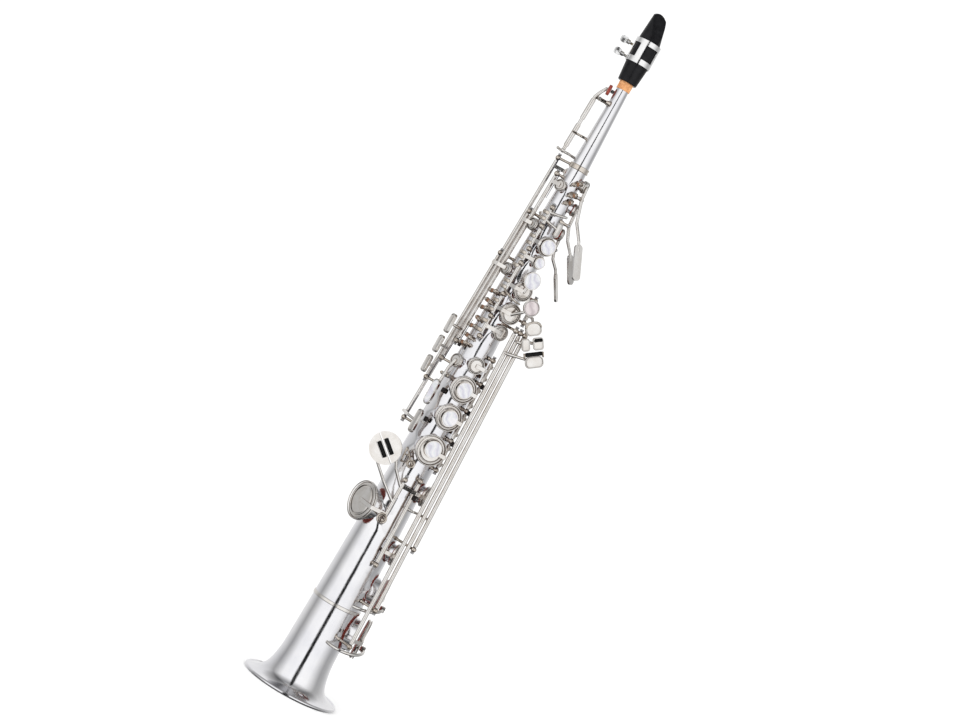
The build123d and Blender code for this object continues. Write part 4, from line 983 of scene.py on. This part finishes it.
def make_tent():
    """A large light tent that only reflections see: softboxes either side of a dark gap."""
    work = bmesh.new()
    bmesh.ops.create_icosphere(work, subdivisions=4, radius=TENT_RADIUS)
    mesh = bpy.data.meshes.new("light_tent")
    work.to_mesh(mesh)
    work.free()
    material = bpy.data.materials.new("light_tent")
    material.use_nodes = True
    nodes, links = material.node_tree.nodes, material.node_tree.links
    nodes.clear()
    output = nodes.new("ShaderNodeOutputMaterial")
    glow = nodes.new("ShaderNodeEmission")
    split = nodes.new("ShaderNodeSeparateXYZ")
    links.new(nodes.new("ShaderNodeTexCoord").outputs["Object"], split.inputs["Vector"])

    def math(kind, one, other):
        node = nodes.new("ShaderNodeMath")
        node.operation = kind
        for socket, value in zip(node.inputs, (one, other)):
            if isinstance(value, (int, float)):
                socket.default_value = value
            else:
                links.new(value, socket)
        return node.outputs["Value"]

    def ramp(factor, stops):
        node = nodes.new("ShaderNodeValToRGB")
        while len(node.color_ramp.elements) < len(stops):
            node.color_ramp.elements.new(0.5)
        for element, (position, grey) in zip(node.color_ramp.elements, stops):
            element.position = position
            element.color = (grey / 2, grey / 2, grey / 2, 1)
        links.new(factor, node.inputs["Fac"])
        return node.outputs["Color"]

    back = math("MULTIPLY", split.outputs["Y"], -1.0)
    turn = math("ARCTAN2", split.outputs["X"], back)
    round_factor = math("ADD", math("DIVIDE", turn, 2 * pi), 0.5)
    height_factor = math("ADD", math("DIVIDE", split.outputs["Z"], 2 * TENT_RADIUS), 0.5)
    side = ramp(round_factor, [(0.5 + a / 360, v) for a, v in TENT_SIDES])
    rise = ramp(height_factor, [((sin(radians(e)) + 1) / 2, v) for e, v in TENT_HEIGHTS])
    mixed = nodes.new("ShaderNodeMix")
    mixed.data_type = "RGBA"
    mixed.blend_type = "MULTIPLY"
    mixed.inputs["Factor"].default_value = 1.0
    links.new(side, mixed.inputs["A"])
    links.new(rise, mixed.inputs["B"])
    links.new(mixed.outputs["Result"], glow.inputs["Color"])
    glow.inputs["Strength"].default_value = TENT_STRENGTH
    links.new(glow.outputs["Emission"], output.inputs["Surface"])
    tent = new_object("light_tent", mesh, material)
    tent.location.z = TENT_CENTRE_Z
    tent.visible_camera = False
    tent.visible_diffuse = False
    tent.visible_shadow = False
    tent.visible_transmission = False


def area_light(name, place, power):
    data = bpy.data.lights.new(name, "AREA")
    data.shape = "RECTANGLE"
    data.size, data.size_y = LIGHT_SIZE
    data.energy = power
    light = bpy.data.objects.new(name, data)
    light.location = place
    light.rotation_euler = (Vector(LIGHT_TARGET) - Vector(place)).to_track_quat("-Z", "Y").to_euler()
    light.visible_glossy = False
    light.visible_camera = False
    bpy.context.scene.collection.objects.link(light)


def make_lights():
    world = bpy.data.worlds.new("studio")
    bpy.context.scene.world = world
    world.use_nodes = True
    background = world.node_tree.nodes["Background"]
    background.inputs["Color"].default_value = (1, 1, 1, 1)
    background.inputs["Strength"].default_value = WORLD_STRENGTH
    area_light("key_light", (-1.4, -1.8, 1.6), 12)
    area_light("fill_light", (1.5, -1.5, 0.9), 6)
    bpy.context.scene.view_settings.view_transform = "Standard"


def make_camera():
    data = bpy.data.cameras.new("camera")
    data.lens = CAMERA_LENS
    data.sensor_width = CAMERA_SENSOR
    camera = bpy.data.objects.new("camera", data)
    place, target = Vector(CAMERA_PLACE), Vector(CAMERA_TARGET)
    look = (target - place).to_track_quat("-Z", "Y").to_matrix().to_4x4()
    camera.matrix_world = Matrix.Translation(place) @ look @ Matrix.Rotation(radians(CAMERA_ROLL), 4, "Z")
    bpy.context.scene.collection.objects.link(camera)
    bpy.context.scene.camera = camera


def main():
    make_camera()
    make_lights()
    make_floor()
    make_tent()
    dress_nodes()
    for key in CUPS:
        make_pad(key)
    make_rod_screws()
    make_springs()
    make_guide_rings()
    make_neck_fittings()
    make_felts()
    make_bridges()
    make_key_details()


main()
